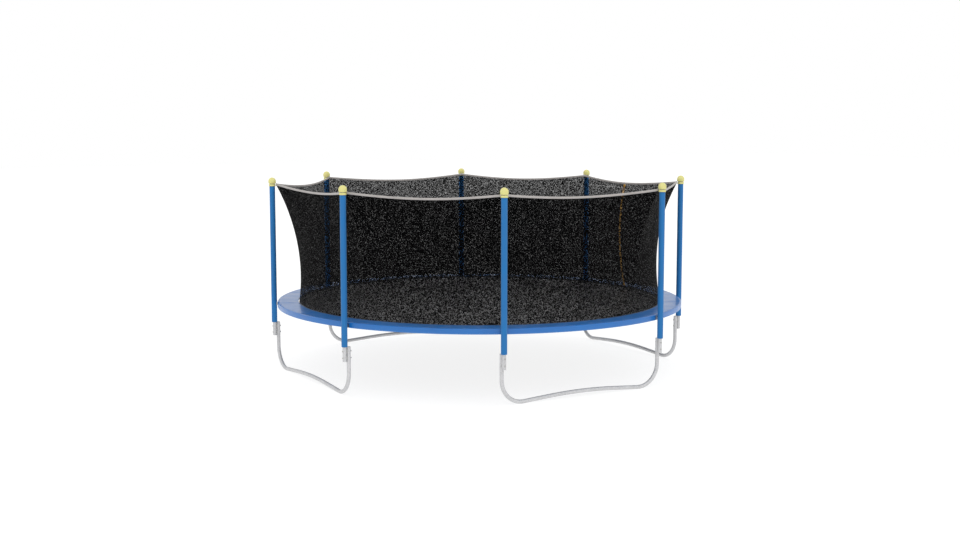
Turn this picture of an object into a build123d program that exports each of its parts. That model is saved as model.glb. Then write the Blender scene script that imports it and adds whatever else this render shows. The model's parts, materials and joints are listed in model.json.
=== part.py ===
from build123d import *
from math import asin, atan2, cos, degrees, hypot, radians, sin, tan
import os

os.makedirs("parts", exist_ok=True)

# A round garden trampoline with a net enclosure. Four U-shaped legs carry eight poles, and the
# frame ring hangs between the poles. Origin: on the ring's axis, at the ground. +Z is up, and the
# door panel faces +X. Millimetres and degrees throughout.

# Tubes
tube_diameter = 42.0
tube_wall = 1.5
swage_clearance = 0.25      # between a reduced tube end and the bore that it slides into
swage_shoulder = 3.0        # length over which a tube end steps down
cut_reach = 60.0            # how far a hole's cutter runs to each side of its plane

# Frame ring
ring_radius = 2265.0        # to the centre line of the tube
ring_height = 738.0
rail_count = 8
first_joint_angle = 1.875
rail_spigot_length = 60.0

# Poles, legs and foam
pairs_of_poles = 4
pole_pair_angle = 48.33     # between the two poles of one leg, about the ring's axis
skirt_to_ring = 11.0
skirt_thickness = 6.0
skirt_to_foam = 9.0
foam_wall = 10.5
foam_clearance = 0.5
foam_below_ring = 213.0     # from the ring's centre line down to the foam's lower end
foam_top = 2069.0
pole_below_foam = 152.0
pole_joint_height = 1220.0
pole_top = 2100.0
pole_spigot_length = 80.0
leg_to_pole_gap = 3.0
foam_to_leg = 1.0
leg_corner_radius = 236.0
leg_rise_angle = 4.0        # slope of the foot bar between its low points and its middle
leg_wave_half_width = 400.0

# Cap
cap_collar_height = 21.0
cap_collar_wall = 16.0
cap_groove_height = 7.0
cap_groove_wall = 5.0
cap_dome_radius = 42.5
cap_dome_foot = 0.9           # the dome's foot and its first bulge, as shares of its radius
cap_dome_bulge = 0.975
cap_dome_waist = 0.3          # height of its widest place, as a share of its height
cap_dome_height = 69.0
cap_clearance = 0.3

# Fasteners
bolt_diameter = 8.0
bolt_hole_clearance = 0.3
bolt_head_radius = 8.5
bolt_head_height = 4.0
nut_radius = 7.5
nut_height = 8.0
leg_bolt_drops = (115.0, 45.0)     # below the foam's lower end
saddle_width = 22.0
saddle_height = 26.0
bracket_width = 36.0
bracket_height = 30.0
fit_gap = 0.2               # between a saddle or bracket and the tube that it is clamped to
screw_diameter = 6.0
screw_hole_clearance = 0.3
screw_head_radius = 6.0
screw_head_height = 3.0
screw_length = 14.0

# Jumping mat, rings and springs
mat_to_ring = 225.0         # from the mat's edge out to the ring's centre line
mat_above_ring = 7.0
mat_thickness = 3.0
webbing_width = 50.0
webbing_thickness = 2.5
spring_count = 96
spring_diameter = 18.0
spring_hook_diameter = 3.5
spring_hook_length = 22.0
spring_end_gap = 0.5
v_ring_length = 26.0
v_ring_width = 34.0
v_ring_wire = 4.0
v_ring_gap = 0.5

# Frame pad
pad_to_mat = 28.0
pad_thickness = 17.4
pad_to_ring = 1.6
pad_edge_radius = 7.0
skirt_below_ring = 21.0
pad_notch_clearance = 3.0
pad_tie_count = 16
pad_tie_width = 20.0
pad_tie_thickness = 1.0
pad_tie_angle = 9.375

# Net
net_thickness = 3.0
net_to_mat = 18.0
net_above_mat = 31.5
net_seam_gap = 0.3
net_to_hem_gap = 5.0        # the hem curves below the straight top edges of the panel's strips
net_sag_at_pole = 108.0     # how far the middle of the net's height is drawn inwards at a pole
net_sag_at_middle = 75.0    # the same, midway between two poles
hem_diameter = 20.0
hem_above_foam = 19.0       # centre line of the top hem at a pole
hem_to_pole = 44.0          # from the pole's centre in to the hem's centre line
hem_drop = 52.0             # how far the hem hangs down midway between two poles
hem_draw_in = 57.0          # how far it is drawn in from the straight line there, on a wide panel
hem_end_gap = 42.0          # of hem left out on each side of a pole, for the tie
lower_hem_height = 25.0
lower_hem_thickness = 8.0
lower_hem_gap = 0.5

# Door and zip
door_hinge_offset = 760.0
door_sill = 103.5           # height of the net left whole below the door
door_top = 1984.0
door_gap = 1.0
zip_tape_width = 14.0
zip_tape_thickness = 1.6
zip_teeth_width = 3.6
zip_teeth_thickness = 3.6
zip_slit = 3.2              # between the two rows of teeth
zip_net_gap = 0.4
zip_end_gap = 2.0
zip_travel_clearance = 0.4
slider_length = 34.0
slider_width = 18.0
slider_plate = 2.0
slider_post = 2.4
slider_post_length = 12.0
slider_parking_gap = 6.0
lug_length = 10.0
lug_width = 2.5
lug_height = 6.5
pull_pin_diameter = 3.0
pull_pin_clearance = 0.05
pull_eye_radius = 3.2
pull_thickness = 2.6
pull_length = 52.0
pull_width = 30.0
pull_neck_width = 7.4
pull_neck_length = 10.0

# Sizes that follow from the ones above
tube_radius = tube_diameter / 2
bore_radius = tube_radius - tube_wall
spigot_radius = bore_radius - swage_clearance
foam_radius = tube_radius + foam_clearance + foam_wall
skirt_inner_radius = ring_radius + tube_radius + skirt_to_ring
pad_outer_radius = skirt_inner_radius + skirt_thickness
pole_circle = pad_outer_radius + skirt_to_foam + foam_radius
pair_half_angle = pole_pair_angle / 2
leg_half_width = pole_circle * sin(radians(pair_half_angle))
pole_plane = pole_circle * cos(radians(pair_half_angle))
leg_plane = pole_plane - tube_diameter - leg_to_pole_gap
bolt_hole_radius = bolt_diameter / 2 + bolt_hole_clearance
foam_bottom = ring_height - foam_below_ring
pole_bottom = foam_bottom - pole_below_foam
leg_top = foam_bottom - foam_to_leg
leg_bolt_heights = [foam_bottom - drop for drop in leg_bolt_drops]
mat_radius = ring_radius - mat_to_ring
mat_height = ring_height + mat_above_ring
pad_inner_radius = mat_radius + pad_to_mat
pad_bottom = ring_height + tube_radius + pad_to_ring
pad_top = pad_bottom + pad_thickness
skirt_bottom = ring_height - skirt_below_ring
net_bottom_radius = mat_radius + net_to_mat
net_bottom_height = mat_height + net_above_mat
door_bottom = net_bottom_height + door_sill
hem_height = foam_top + hem_above_foam
hem_circle = pole_circle - hem_to_pole
pair_angles = [360 / pairs_of_poles * i for i in range(pairs_of_poles)]
pole_angles = [mid + side * pair_half_angle for mid in pair_angles for side in (-1, 1)]


def around(radius, angle, height=0.0):
    """The point at this radius and angle about the ring's axis."""
    return Vector(radius * cos(radians(angle)), radius * sin(radians(angle)), height)


def facing_plane(radius, angle, height=0.0):
    """A plane that faces outwards, square to the radius, with its own Y upwards."""
    return Plane(origin=around(radius, angle, height), x_dir=around(1, angle + 90), z_dir=around(1, angle))


def radial_plane(angle, height=0.0):
    """The upright plane through the ring's axis, with its own X outwards and its own Y upwards."""
    return Plane(origin=(0, 0, height), x_dir=around(1, angle), z_dir=around(1, angle - 90))


def pole_point(angle, height=0.0):
    return around(pole_circle, angle, height)


pole_frames = [
    Location(Plane(origin=pole_point(angle), x_dir=around(1, angle), z_dir=(0, 0, 1)))
    for angle in pole_angles
]


def save(part, name):
    part.label = name
    export_step(part, f"parts/{name}.step")


def make_leg(angle):
    """One bent tube: two uprights, two corners and a foot bar that rises towards its middle."""
    low = tube_radius
    corner_x = leg_half_width - leg_corner_radius
    corner_z = low + leg_corner_radius
    slope_x = corner_x - leg_corner_radius * sin(radians(leg_rise_angle))
    slope_z = corner_z - leg_corner_radius * cos(radians(leg_rise_angle))
    wave_z = slope_z + (slope_x - leg_wave_half_width) * tan(radians(leg_rise_angle))
    crest_z = wave_z + leg_wave_half_width * tan(radians(leg_rise_angle / 2))
    half_corner = radians(90 + leg_rise_angle) / 2
    corner_mid_x = corner_x + leg_corner_radius * cos(half_corner)
    corner_mid_z = corner_z - leg_corner_radius * sin(half_corner)
    with BuildPart() as leg:
        with BuildLine(facing_plane(leg_plane, angle)):
            Line((leg_half_width, leg_top), (leg_half_width, corner_z))
            ThreePointArc((leg_half_width, corner_z), (corner_mid_x, corner_mid_z), (slope_x, slope_z))
            Line((slope_x, slope_z), (leg_wave_half_width, wave_z))
            ThreePointArc((leg_wave_half_width, wave_z), (0, crest_z), (-leg_wave_half_width, wave_z))
            Line((-leg_wave_half_width, wave_z), (-slope_x, slope_z))
            ThreePointArc((-slope_x, slope_z), (-corner_mid_x, corner_mid_z), (-leg_half_width, corner_z))
            Line((-leg_half_width, corner_z), (-leg_half_width, leg_top))
        top = facing_plane(leg_plane, angle).from_local_coords((leg_half_width, leg_top))
        with BuildSketch(Plane(origin=top, z_dir=(0, 0, -1))):
            Circle(tube_radius)
            Circle(bore_radius, mode=Mode.SUBTRACT)
        sweep()
        with BuildSketch(facing_plane(leg_plane, angle)):
            with Locations(*leg_bolt_points()):
                Circle(bolt_hole_radius)
        extrude(amount=tube_diameter, both=True, mode=Mode.SUBTRACT)
    return leg.part


def leg_bolt_points():
    """The bolts of one leg, in the leg's plane."""
    return [(side * leg_half_width, height) for side in (-1, 1) for height in leg_bolt_heights]


def make_rail(number):
    """An arc of the ring, swaged at its far end to slide into the next rail."""
    arc = 360 / rail_count
    start = first_joint_angle + arc * number
    shoulder = degrees(swage_shoulder / ring_radius)
    spigot = degrees(rail_spigot_length / ring_radius)
    end = start + arc
    with BuildPart() as rail:
        for first, angle, outer, inner in (
            (start, arc - shoulder, tube_radius, bore_radius),
            (end - shoulder, shoulder, tube_radius, spigot_radius - tube_wall),
            (end, spigot, spigot_radius, spigot_radius - tube_wall),
        ):
            with BuildSketch(radial_plane(first)):
                with Locations((ring_radius, ring_height)):
                    Circle(outer)
                    Circle(inner, mode=Mode.SUBTRACT)
            revolve(axis=Axis.Z, revolution_arc=angle)
        for angle in [a for a in pole_angles if start < a % 360 < end or start < a % 360 + 360 < end]:
            with BuildSketch(facing_plane(ring_radius, angle, ring_height)):
                Circle(bolt_hole_radius)
            extrude(amount=cut_reach, both=True, mode=Mode.SUBTRACT)
        screw_radius = screw_diameter / 2 + screw_hole_clearance
        with BuildSketch(Plane.XY.offset(ring_height)):
            with Locations(
                around(ring_radius, screw_angle(number)),
                around(ring_radius, screw_angle(number + 1)),
            ):
                Circle(screw_radius)
        extrude(amount=-cut_reach, mode=Mode.SUBTRACT)
    return rail.part


def screw_angle(number):
    """Halfway along the swaged joint at the start of this rail."""
    return first_joint_angle + 360 / rail_count * number + degrees(rail_spigot_length / 2 / ring_radius)


def spring_height():
    return mat_height + mat_thickness / 2


def make_rail_screws():
    shank_top = ring_height - tube_radius + screw_length
    with BuildPart() as screws:
        for number in range(rail_count):
            spot = around(ring_radius, screw_angle(number))
            with BuildSketch(Plane(origin=(spot.X, spot.Y, ring_height - tube_radius - screw_head_height))):
                Circle(screw_head_radius)
            extrude(amount=screw_head_height - fit_gap)
            with BuildSketch(Plane(origin=(spot.X, spot.Y, ring_height - tube_radius - screw_head_height))):
                Circle(screw_diameter / 2)
            extrude(amount=shank_top - ring_height + tube_radius + screw_head_height)
    return screws.part


def make_lower_pole(angle, mid_angle):
    with BuildPart() as pole:
        with BuildSketch(Plane(origin=pole_point(angle, pole_bottom))):
            Circle(tube_radius)
            Circle(bore_radius, mode=Mode.SUBTRACT)
        extrude(amount=pole_joint_height - pole_bottom)
        with BuildSketch(facing_plane(leg_plane, mid_angle)):
            with Locations(*leg_bolt_points()):
                Circle(bolt_hole_radius)
        extrude(amount=3 * tube_diameter, mode=Mode.SUBTRACT)
        with BuildSketch(facing_plane(pole_circle, angle, ring_height)):
            Circle(bolt_hole_radius)
        extrude(amount=cut_reach, both=True, mode=Mode.SUBTRACT)
    return pole.part


def make_upper_pole():
    """One upper pole about the origin: a swaged end, a shoulder and the plain tube."""
    joint = pole_joint_height
    spigot_bore = spigot_radius - tube_wall
    with BuildPart() as pole:
        for bottom, top, outer, inner in (
            (joint - pole_spigot_length, joint, spigot_radius, spigot_bore),
            (joint, joint + swage_shoulder, tube_radius, spigot_bore),
            (joint + swage_shoulder, pole_top, tube_radius, bore_radius),
        ):
            with BuildSketch(Plane.XY.offset(bottom)):
                Circle(outer)
                Circle(inner, mode=Mode.SUBTRACT)
            extrude(amount=top - bottom)
    return pole.part


def make_foam_sleeve(angle):
    """A foam tube, with a slot for the bracket and a pocket for the bolt's head."""
    with BuildPart() as sleeve:
        with BuildSketch(Plane(origin=pole_point(angle, foam_bottom))):
            Circle(foam_radius)
            Circle(tube_radius + foam_clearance, mode=Mode.SUBTRACT)
        extrude(amount=foam_top - foam_bottom)
        with BuildSketch(facing_plane(pole_circle, angle, ring_height)):
            Rectangle(bracket_width + 2 * foam_clearance, bracket_height + 2 * foam_clearance)
        extrude(amount=-cut_reach, mode=Mode.SUBTRACT)
        with BuildSketch(facing_plane(pole_circle, angle, ring_height)):
            Circle(bolt_head_radius + foam_clearance)
        extrude(amount=tube_radius + bolt_head_height + foam_clearance, mode=Mode.SUBTRACT)
    return sleeve.part


def make_cap():
    """One cap about the origin: collar, groove and dome over the end of the pole."""
    bore = tube_radius + cap_clearance
    groove = bore + cap_groove_wall
    collar = bore + cap_collar_wall
    groove_bottom = foam_top + cap_collar_height
    dome_bottom = groove_bottom + cap_groove_height
    top = dome_bottom + cap_dome_height
    waist = dome_bottom + cap_dome_waist * cap_dome_height
    foot = cap_dome_foot * cap_dome_radius
    bulge = cap_dome_bulge * cap_dome_radius
    with BuildPart() as cap:
        with BuildSketch(Plane.XZ):
            with BuildLine():
                Polyline(
                    (0, pole_top + cap_clearance),
                    (bore, pole_top + cap_clearance),
                    (bore, foam_top),
                    (collar, foam_top),
                    (collar, groove_bottom),
                    (groove, groove_bottom),
                    (groove, dome_bottom),
                    (foot, dome_bottom),
                )
                ThreePointArc(
                    (foot, dome_bottom),
                    (bulge, (dome_bottom + waist) / 2 - 1),
                    (cap_dome_radius, waist),
                )
                Line((cap_dome_radius, waist), (cap_dome_radius, top - cap_dome_radius))
                CenterArc((0, top - cap_dome_radius), cap_dome_radius, 0, 90)
                Line((0, top), (0, pole_top + cap_clearance))
            make_face()
        revolve(axis=Axis.Z)
    return cap.part


def make_at_poles(single):
    with BuildPart() as group:
        with Locations(*pole_frames):
            add(single, clean=False)
    return group.part


def make_leg_spacers():
    """Saddles between each leg upright and its pole, one at each bolt."""
    half_step = (tube_diameter + leg_to_pole_gap) / 2
    with BuildPart() as spacers:
        for mid in pair_angles:
            with BuildSketch(facing_plane(leg_plane + half_step, mid)):
                with Locations(*leg_bolt_points()):
                    Rectangle(saddle_width, saddle_height)
            extrude(amount=tube_radius / 2, both=True)
            tubes = [(s * leg_half_width, x) for s in (-1, 1) for x in (leg_plane, pole_plane)]
            for across, out in tubes:
                spot = facing_plane(out, mid).from_local_coords((across, 0))
                with BuildSketch(Plane(origin=spot)):
                    Circle(tube_radius + fit_gap)
                extrude(amount=foam_bottom, mode=Mode.SUBTRACT)
            with BuildSketch(facing_plane(leg_plane, mid)):
                with Locations(*leg_bolt_points()):
                    Circle(bolt_hole_radius)
            extrude(amount=tube_diameter + leg_to_pole_gap, mode=Mode.SUBTRACT)
    return spacers.part


def make_rail_brackets():
    """Pressed blocks that hold the ring off each pole and fit round both tubes."""
    reach = (pole_circle - ring_radius) / 2
    with BuildPart() as brackets:
        for angle in pole_angles:
            with BuildSketch(facing_plane(ring_radius + reach, angle, ring_height)):
                Rectangle(bracket_width, bracket_height)
                Circle(bolt_hole_radius, mode=Mode.SUBTRACT)
            extrude(amount=reach - tube_radius / 3, both=True)
            with BuildSketch(Plane(origin=pole_point(angle, ring_height - bracket_height))):
                Circle(tube_radius + fit_gap)
            extrude(amount=2 * bracket_height, mode=Mode.SUBTRACT)
        with BuildSketch(radial_plane(0)):
            with Locations((ring_radius, ring_height)):
                Circle(tube_radius + fit_gap)
        revolve(axis=Axis.Z, mode=Mode.SUBTRACT)
    return brackets.part


def make_bolts(planes, grip):
    """Bolts whose shanks start at the planes and whose domed heads are past the grip."""
    with BuildPart() as bolts:
        for plane in planes:
            with BuildSketch(plane):
                Circle(bolt_diameter / 2)
            extrude(amount=grip)
            with BuildSketch(plane.offset(grip)):
                Circle(bolt_head_radius)
            extrude(amount=bolt_head_height, taper=25)
    return bolts.part


def leg_bolt_planes():
    """Where each leg bolt ends, just inside its lock nut."""
    planes = []
    for mid in pair_angles:
        for across, height in leg_bolt_points():
            base = facing_plane(leg_plane - tube_radius - nut_height, mid)
            spot = base.from_local_coords((across, height))
            planes.append(Plane(origin=spot, x_dir=base.x_dir, z_dir=base.z_dir))
    return planes


def rail_bolt_planes():
    inner = ring_radius - tube_radius - nut_height
    return [facing_plane(inner, angle, ring_height) for angle in pole_angles]


def make_lock_nuts():
    with BuildPart() as nuts:
        for plane in leg_bolt_planes() + rail_bolt_planes():
            with BuildSketch(plane):
                RegularPolygon(nut_radius, 6)
                Circle(bolt_diameter / 2 + fit_gap / 2, mode=Mode.SUBTRACT)
            extrude(amount=nut_height - fit_gap)
    return nuts.part


def make_jumping_mat():
    with BuildPart() as mat:
        with BuildSketch(Plane.XY.offset(mat_height)):
            Circle(mat_radius)
        extrude(amount=mat_thickness)
    return mat.part


def make_mat_edge_webbing():
    with BuildPart() as webbing:
        with BuildSketch(Plane.XY.offset(mat_height)):
            Circle(mat_radius)
            Circle(mat_radius - webbing_width, mode=Mode.SUBTRACT)
        extrude(amount=-webbing_thickness)
    return webbing.part


def make_mat_v_rings():
    """Flat wire links at the mat's edge, one to a spring."""
    middle = mat_radius + fit_gap + v_ring_length / 2
    with BuildPart() as links:
        with BuildSketch(Plane.XY.offset(spring_height() - v_ring_wire / 2)):
            with PolarLocations(middle, spring_count):
                Rectangle(v_ring_length, v_ring_width)
                Rectangle(
                    v_ring_length - 2 * v_ring_wire,
                    v_ring_width - 2 * v_ring_wire,
                    mode=Mode.SUBTRACT,
                )
        extrude(amount=v_ring_wire)
    return links.part


def make_springs():
    """Plain rods the size of each coil spring, with a hook at both ends."""
    inner = mat_radius + fit_gap + v_ring_length + v_ring_gap
    outer = ring_radius - tube_radius - spring_end_gap
    with BuildPart() as one:
        with BuildSketch(Plane.XZ):
            with BuildLine():
                Polyline(
                    (inner, spring_height()),
                    (inner, spring_height() + spring_hook_diameter / 2),
                    (inner + spring_hook_length, spring_height() + spring_hook_diameter / 2),
                    (inner + spring_hook_length, spring_height() + spring_diameter / 2),
                    (outer - spring_hook_length, spring_height() + spring_diameter / 2),
                    (outer - spring_hook_length, spring_height() + spring_hook_diameter / 2),
                    (outer, spring_height() + spring_hook_diameter / 2),
                    (outer, spring_height()),
                    close=True,
                )
            make_face()
        revolve(axis=Axis((0, 0, spring_height()), (1, 0, 0)))
    with BuildPart() as springs:
        with PolarLocations(0, spring_count):
            add(one.part)
    return springs.part


def make_frame_pad():
    """A padded ring over springs and frame, with a skirt that hangs outside the ring."""
    with BuildPart() as pad:
        with BuildSketch(Plane.XZ) as profile:
            with BuildLine():
                Polyline(
                    (pad_inner_radius, pad_bottom),
                    (skirt_inner_radius, pad_bottom),
                    (skirt_inner_radius, skirt_bottom),
                    (pad_outer_radius, skirt_bottom),
                    (pad_outer_radius, pad_top),
                    (pad_inner_radius, pad_top),
                    close=True,
                )
            make_face()
            inner_corners = profile.vertices().group_by(Axis.X)[0]
            outer_corner = profile.vertices().group_by(Axis.X)[-1].sort_by(Axis.Y)[-1]
            fillet(list(inner_corners) + [outer_corner], radius=pad_edge_radius)
        revolve(axis=Axis.Z)
        notch_height = ring_height + bracket_height / 2 + pad_notch_clearance - skirt_bottom
        for angle in pole_angles:
            with BuildSketch(facing_plane(skirt_inner_radius - fit_gap, angle, skirt_bottom)):
                Rectangle(bracket_width + 2 * pad_notch_clearance, 2 * notch_height)
            extrude(amount=skirt_thickness + 2 * fit_gap, mode=Mode.SUBTRACT)
    return pad.part


def make_pad_ties():
    """Elastic loops round the ring tube."""
    angles = [pad_tie_angle + 360 / pad_tie_count * i for i in range(pad_tie_count)]
    turn = degrees(pad_tie_width / ring_radius)
    with BuildPart() as ties:
        for angle in angles:
            with BuildSketch(radial_plane(angle)):
                with Locations((ring_radius, ring_height)):
                    Circle(tube_radius + fit_gap + pad_tie_thickness)
                    Circle(tube_radius + fit_gap, mode=Mode.SUBTRACT)
            revolve(axis=Axis.Z, revolution_arc=turn)
    return ties.part


def panel_half_angle(number):
    """Panels 1, 3, 5 and 7 are over a leg; the others are between two legs."""
    return pair_half_angle if number % 2 == 1 else 360 / pairs_of_poles / 2 - pair_half_angle


def panel_middle(number):
    return 360 / pairs_of_poles / 2 * (number - 1)


def hem_middle_radius(half):
    """Radius of the top hem midway between two poles; a wide panel is drawn in further."""
    straight = hem_circle * cos(radians(half))
    return straight - hem_draw_in * (half / pair_half_angle) ** 2


def net_section(half, share, offset):
    """Three points of the net's upright profile, at a share of the way from its middle to a pole."""
    blend = share**2
    hem_mid = hem_middle_radius(half)
    top_radius = hem_mid + (hem_circle - hem_mid) * blend
    top_height = hem_height - hem_drop * (1 - blend) - hem_diameter / 2 - net_to_hem_gap
    sag = net_sag_at_middle + (net_sag_at_pole - net_sag_at_middle) * blend
    rise = top_height - net_bottom_height
    lean = top_radius - net_bottom_radius
    length = hypot(rise, lean)
    mid_radius = (top_radius + net_bottom_radius) / 2 - sag * rise / length
    mid_height = (top_height + net_bottom_height) / 2 + sag * lean / length
    return (
        (net_bottom_radius + offset, net_bottom_height),
        (mid_radius + offset, mid_height),
        (top_radius + offset, top_height),
    )


def make_net_panel(number):
    """The net between two poles, lofted through its upright profiles."""
    half = panel_half_angle(number)
    shares = (-1, -0.5, 0, 0.5, 1)
    seam = 1 - net_seam_gap / (net_bottom_radius * radians(half))
    with BuildPart() as panel:
        for share in shares:
            outer = net_section(half, share, net_thickness / 2)
            inner = net_section(half, share, -net_thickness / 2)
            with BuildSketch(radial_plane(panel_middle(number) + share * half * seam)):
                with BuildLine():
                    ThreePointArc(*outer)
                    Line(outer[2], inner[2])
                    ThreePointArc(*inner)
                    Line(inner[0], outer[0])
                make_face()
        loft(ruled=True)
    return panel.part


def arc_of_net():
    """Centre and radius of the net's profile through the middle of the door panel."""
    low, middle, high = net_section(pair_half_angle, 0, 0)
    chord_x = high[0] - low[0]
    chord_z = high[1] - low[1]
    chord = hypot(chord_x, chord_z)
    radius = (chord**2 / 4 + net_sag_at_middle**2) / (2 * net_sag_at_middle)
    reach = radius - net_sag_at_middle
    centre_x = (low[0] + high[0]) / 2 + reach * chord_z / chord
    centre_z = (low[1] + high[1]) / 2 - reach * chord_x / chord
    return centre_x, centre_z, radius


zip_x, zip_z, zip_radius = arc_of_net()
zip_net_edge = zip_slit / 2 + zip_tape_width + zip_net_gap
zip_low = net_bottom_height + zip_end_gap
zip_high = hem_height - hem_drop - hem_diameter / 2 - zip_end_gap
park_high = door_top + slider_parking_gap + slider_length / 2
park_low = door_bottom - slider_parking_gap - slider_length / 2
half_teeth = zip_teeth_thickness / 2


def zip_angle(height):
    """Angle of a point of the zip above the level of the arc's centre."""
    return degrees(asin((height - zip_z) / zip_radius))


def zip_plane(height):
    """Square to the zip at this height: its own X points into the enclosure, its own Y to world +Y."""
    turn = radians(zip_angle(height))
    inward = Vector(-cos(turn), 0, sin(turn))
    spot = Vector(zip_x, 0, zip_z) + inward * zip_radius
    return Plane(origin=spot, x_dir=inward, z_dir=inward.cross(Vector(0, 1, 0)))


def make_zip_half(side, low, high):
    """One half of the zip, tape and teeth, between two heights."""
    teeth_middle = zip_slit / 2 + zip_teeth_width / 2
    tape_middle = zip_slit / 2 + zip_tape_width / 2
    with BuildPart() as half:
        with BuildSketch(zip_plane(low)):
            with Locations((0, side * tape_middle)):
                Rectangle(zip_tape_thickness, zip_tape_width)
            with Locations((0, side * teeth_middle)):
                Rectangle(zip_teeth_thickness, zip_teeth_width)
        revolve(axis=Axis((zip_x, 0, zip_z), (0, 1, 0)), revolution_arc=zip_angle(high) - zip_angle(low))
    return half.part


def make_zipper_tape():
    """The fixed half of the zip, and both halves above and below the door flap."""
    with BuildPart() as tape:
        add(make_zip_half(-1, zip_low, zip_high))
        add(make_zip_half(1, zip_low, door_bottom - door_gap))
        add(make_zip_half(1, door_top + door_gap, zip_high))
    return tape.part


def door_block(grow):
    """The space of the door flap, grown by this much on its top, bottom and hinge sides."""
    width = door_hinge_offset - zip_net_edge + grow
    height = door_top - door_bottom + 2 * grow
    with BuildPart() as block:
        with BuildSketch(Plane.YZ.offset(ring_radius / 2)):
            with Locations((zip_net_edge, door_bottom - grow)):
                Rectangle(width, height, align=(Align.MIN, Align.MIN))
        extrude(amount=ring_radius)
    return block.part


def make_door_panel(panel):
    """The net panel with the doorway and the zip's slot cut out."""
    with BuildPart() as fixed:
        add(panel)
        add(door_block(door_gap), mode=Mode.SUBTRACT)
        with BuildSketch(Plane.YZ.offset(ring_radius / 2)):
            with Locations((0, net_bottom_height)):
                Rectangle(2 * zip_net_edge, 2 * ring_height, align=(Align.CENTER, Align.CENTER))
            with Locations((0, hem_height)):
                Rectangle(2 * zip_net_edge, 2 * ring_height, align=(Align.CENTER, Align.CENTER))
        extrude(amount=ring_radius, mode=Mode.SUBTRACT)
    return fixed.part


def make_door_flap(panel):
    with BuildPart() as flap:
        add(panel)
        add(door_block(0), mode=Mode.INTERSECT)
    return flap.part


def make_zipper_slider():
    """Two plates with a post between the rows of teeth, and lugs with a pin for the pull."""
    inner_face = half_teeth + zip_travel_clearance
    plate_middle = inner_face + slider_plate / 2
    lug_middle = pull_neck_width / 2 + fit_gap + lug_width / 2
    plane = zip_plane(park_high)
    with BuildPart() as slider:
        with BuildSketch(plane.offset(-slider_length / 2)):
            with Locations((plate_middle, 0), (-plate_middle, 0)):
                Rectangle(slider_plate, slider_width)
        extrude(amount=slider_length)
        with BuildSketch(plane.offset(slider_length / 2 - slider_post_length)):
            Rectangle(2 * inner_face, slider_post)
        extrude(amount=slider_post_length)
        with BuildSketch(plane.offset(pull_pin_offset() - lug_length / 2)):
            with Locations((lug_base(), lug_middle), (lug_base(), -lug_middle)):
                Rectangle(lug_height, lug_width, align=(Align.MIN, Align.CENTER))
        extrude(amount=lug_length)
        with BuildSketch(Plane(origin=pull_pin_point(), z_dir=(0, 1, 0))):
            Circle(pull_pin_diameter / 2)
        extrude(amount=lug_middle, both=True)
    return slider.part


def lug_base():
    return half_teeth + zip_travel_clearance + slider_plate


def pull_pin_offset():
    """How far above the slider's middle the pull's pin is."""
    return slider_length / 4


def pull_pin_rise():
    """How far inside the zip's surface the pull's pin is."""
    return lug_base() + lug_height - pull_pin_diameter / 2 - 1


def pull_pin_point():
    return zip_plane(park_high).from_local_coords((pull_pin_rise(), 0, pull_pin_offset()))


def make_zipper_pull():
    """A stiff tab that hangs from the slider's pin."""
    plane = zip_plane(park_high)
    flat = Plane(origin=pull_pin_point(), x_dir=(0, 1, 0), z_dir=plane.x_dir)
    down = -1 if flat.y_dir.Z > 0 else 1
    hanging = (Align.CENTER, Align.MAX if down < 0 else Align.MIN)
    with BuildPart() as pull:
        with BuildSketch(flat.offset(-pull_thickness / 2)) as outline:
            Rectangle(pull_neck_width, pull_neck_length, align=hanging)
            with Locations((0, down * pull_neck_length)):
                Rectangle(
                    pull_width,
                    pull_length - pull_neck_length,
                    align=hanging,
                )
            wide = [v for v in outline.vertices() if abs(v.X) > pull_neck_width]
            fillet(wide, radius=pull_width / 5)
        extrude(amount=pull_thickness)
        with BuildSketch(Plane(origin=pull_pin_point(), z_dir=(0, 1, 0))):
            Circle(pull_eye_radius)
        extrude(amount=pull_neck_width / 2, both=True)
        with BuildSketch(Plane(origin=pull_pin_point(), z_dir=(0, 1, 0))):
            Circle(pull_pin_diameter / 2 + pull_pin_clearance)
        extrude(amount=pull_neck_width, both=True, mode=Mode.SUBTRACT)
    return pull.part


def make_net_bottom_hem():
    with BuildPart() as hem:
        with BuildSketch(Plane.XY.offset(net_bottom_height - lower_hem_gap)):
            Circle(net_bottom_radius + lower_hem_thickness / 2)
            Circle(net_bottom_radius - lower_hem_thickness / 2, mode=Mode.SUBTRACT)
        extrude(amount=-lower_hem_height)
    return hem.part


def make_net_top_hem():
    """One round band over each panel. It hangs and is drawn in along a single tilted arc."""
    with BuildPart() as hem:
        for number in range(1, 9):
            half = panel_half_angle(number)
            middle = panel_middle(number)
            whole = ThreePointArc(
                around(hem_circle, middle - half, hem_height),
                around(hem_middle_radius(half), middle, hem_height - hem_drop),
                around(hem_circle, middle + half, hem_height),
            )
            end = hem_end_gap / whole.length
            with BuildLine() as path:
                ThreePointArc(whole @ end, whole @ 0.5, whole @ (1 - end))
            with BuildSketch(Plane(origin=path.line @ 0, z_dir=path.line % 0)):
                Circle(hem_diameter / 2)
            sweep(path=path.line)
    return hem.part


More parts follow.
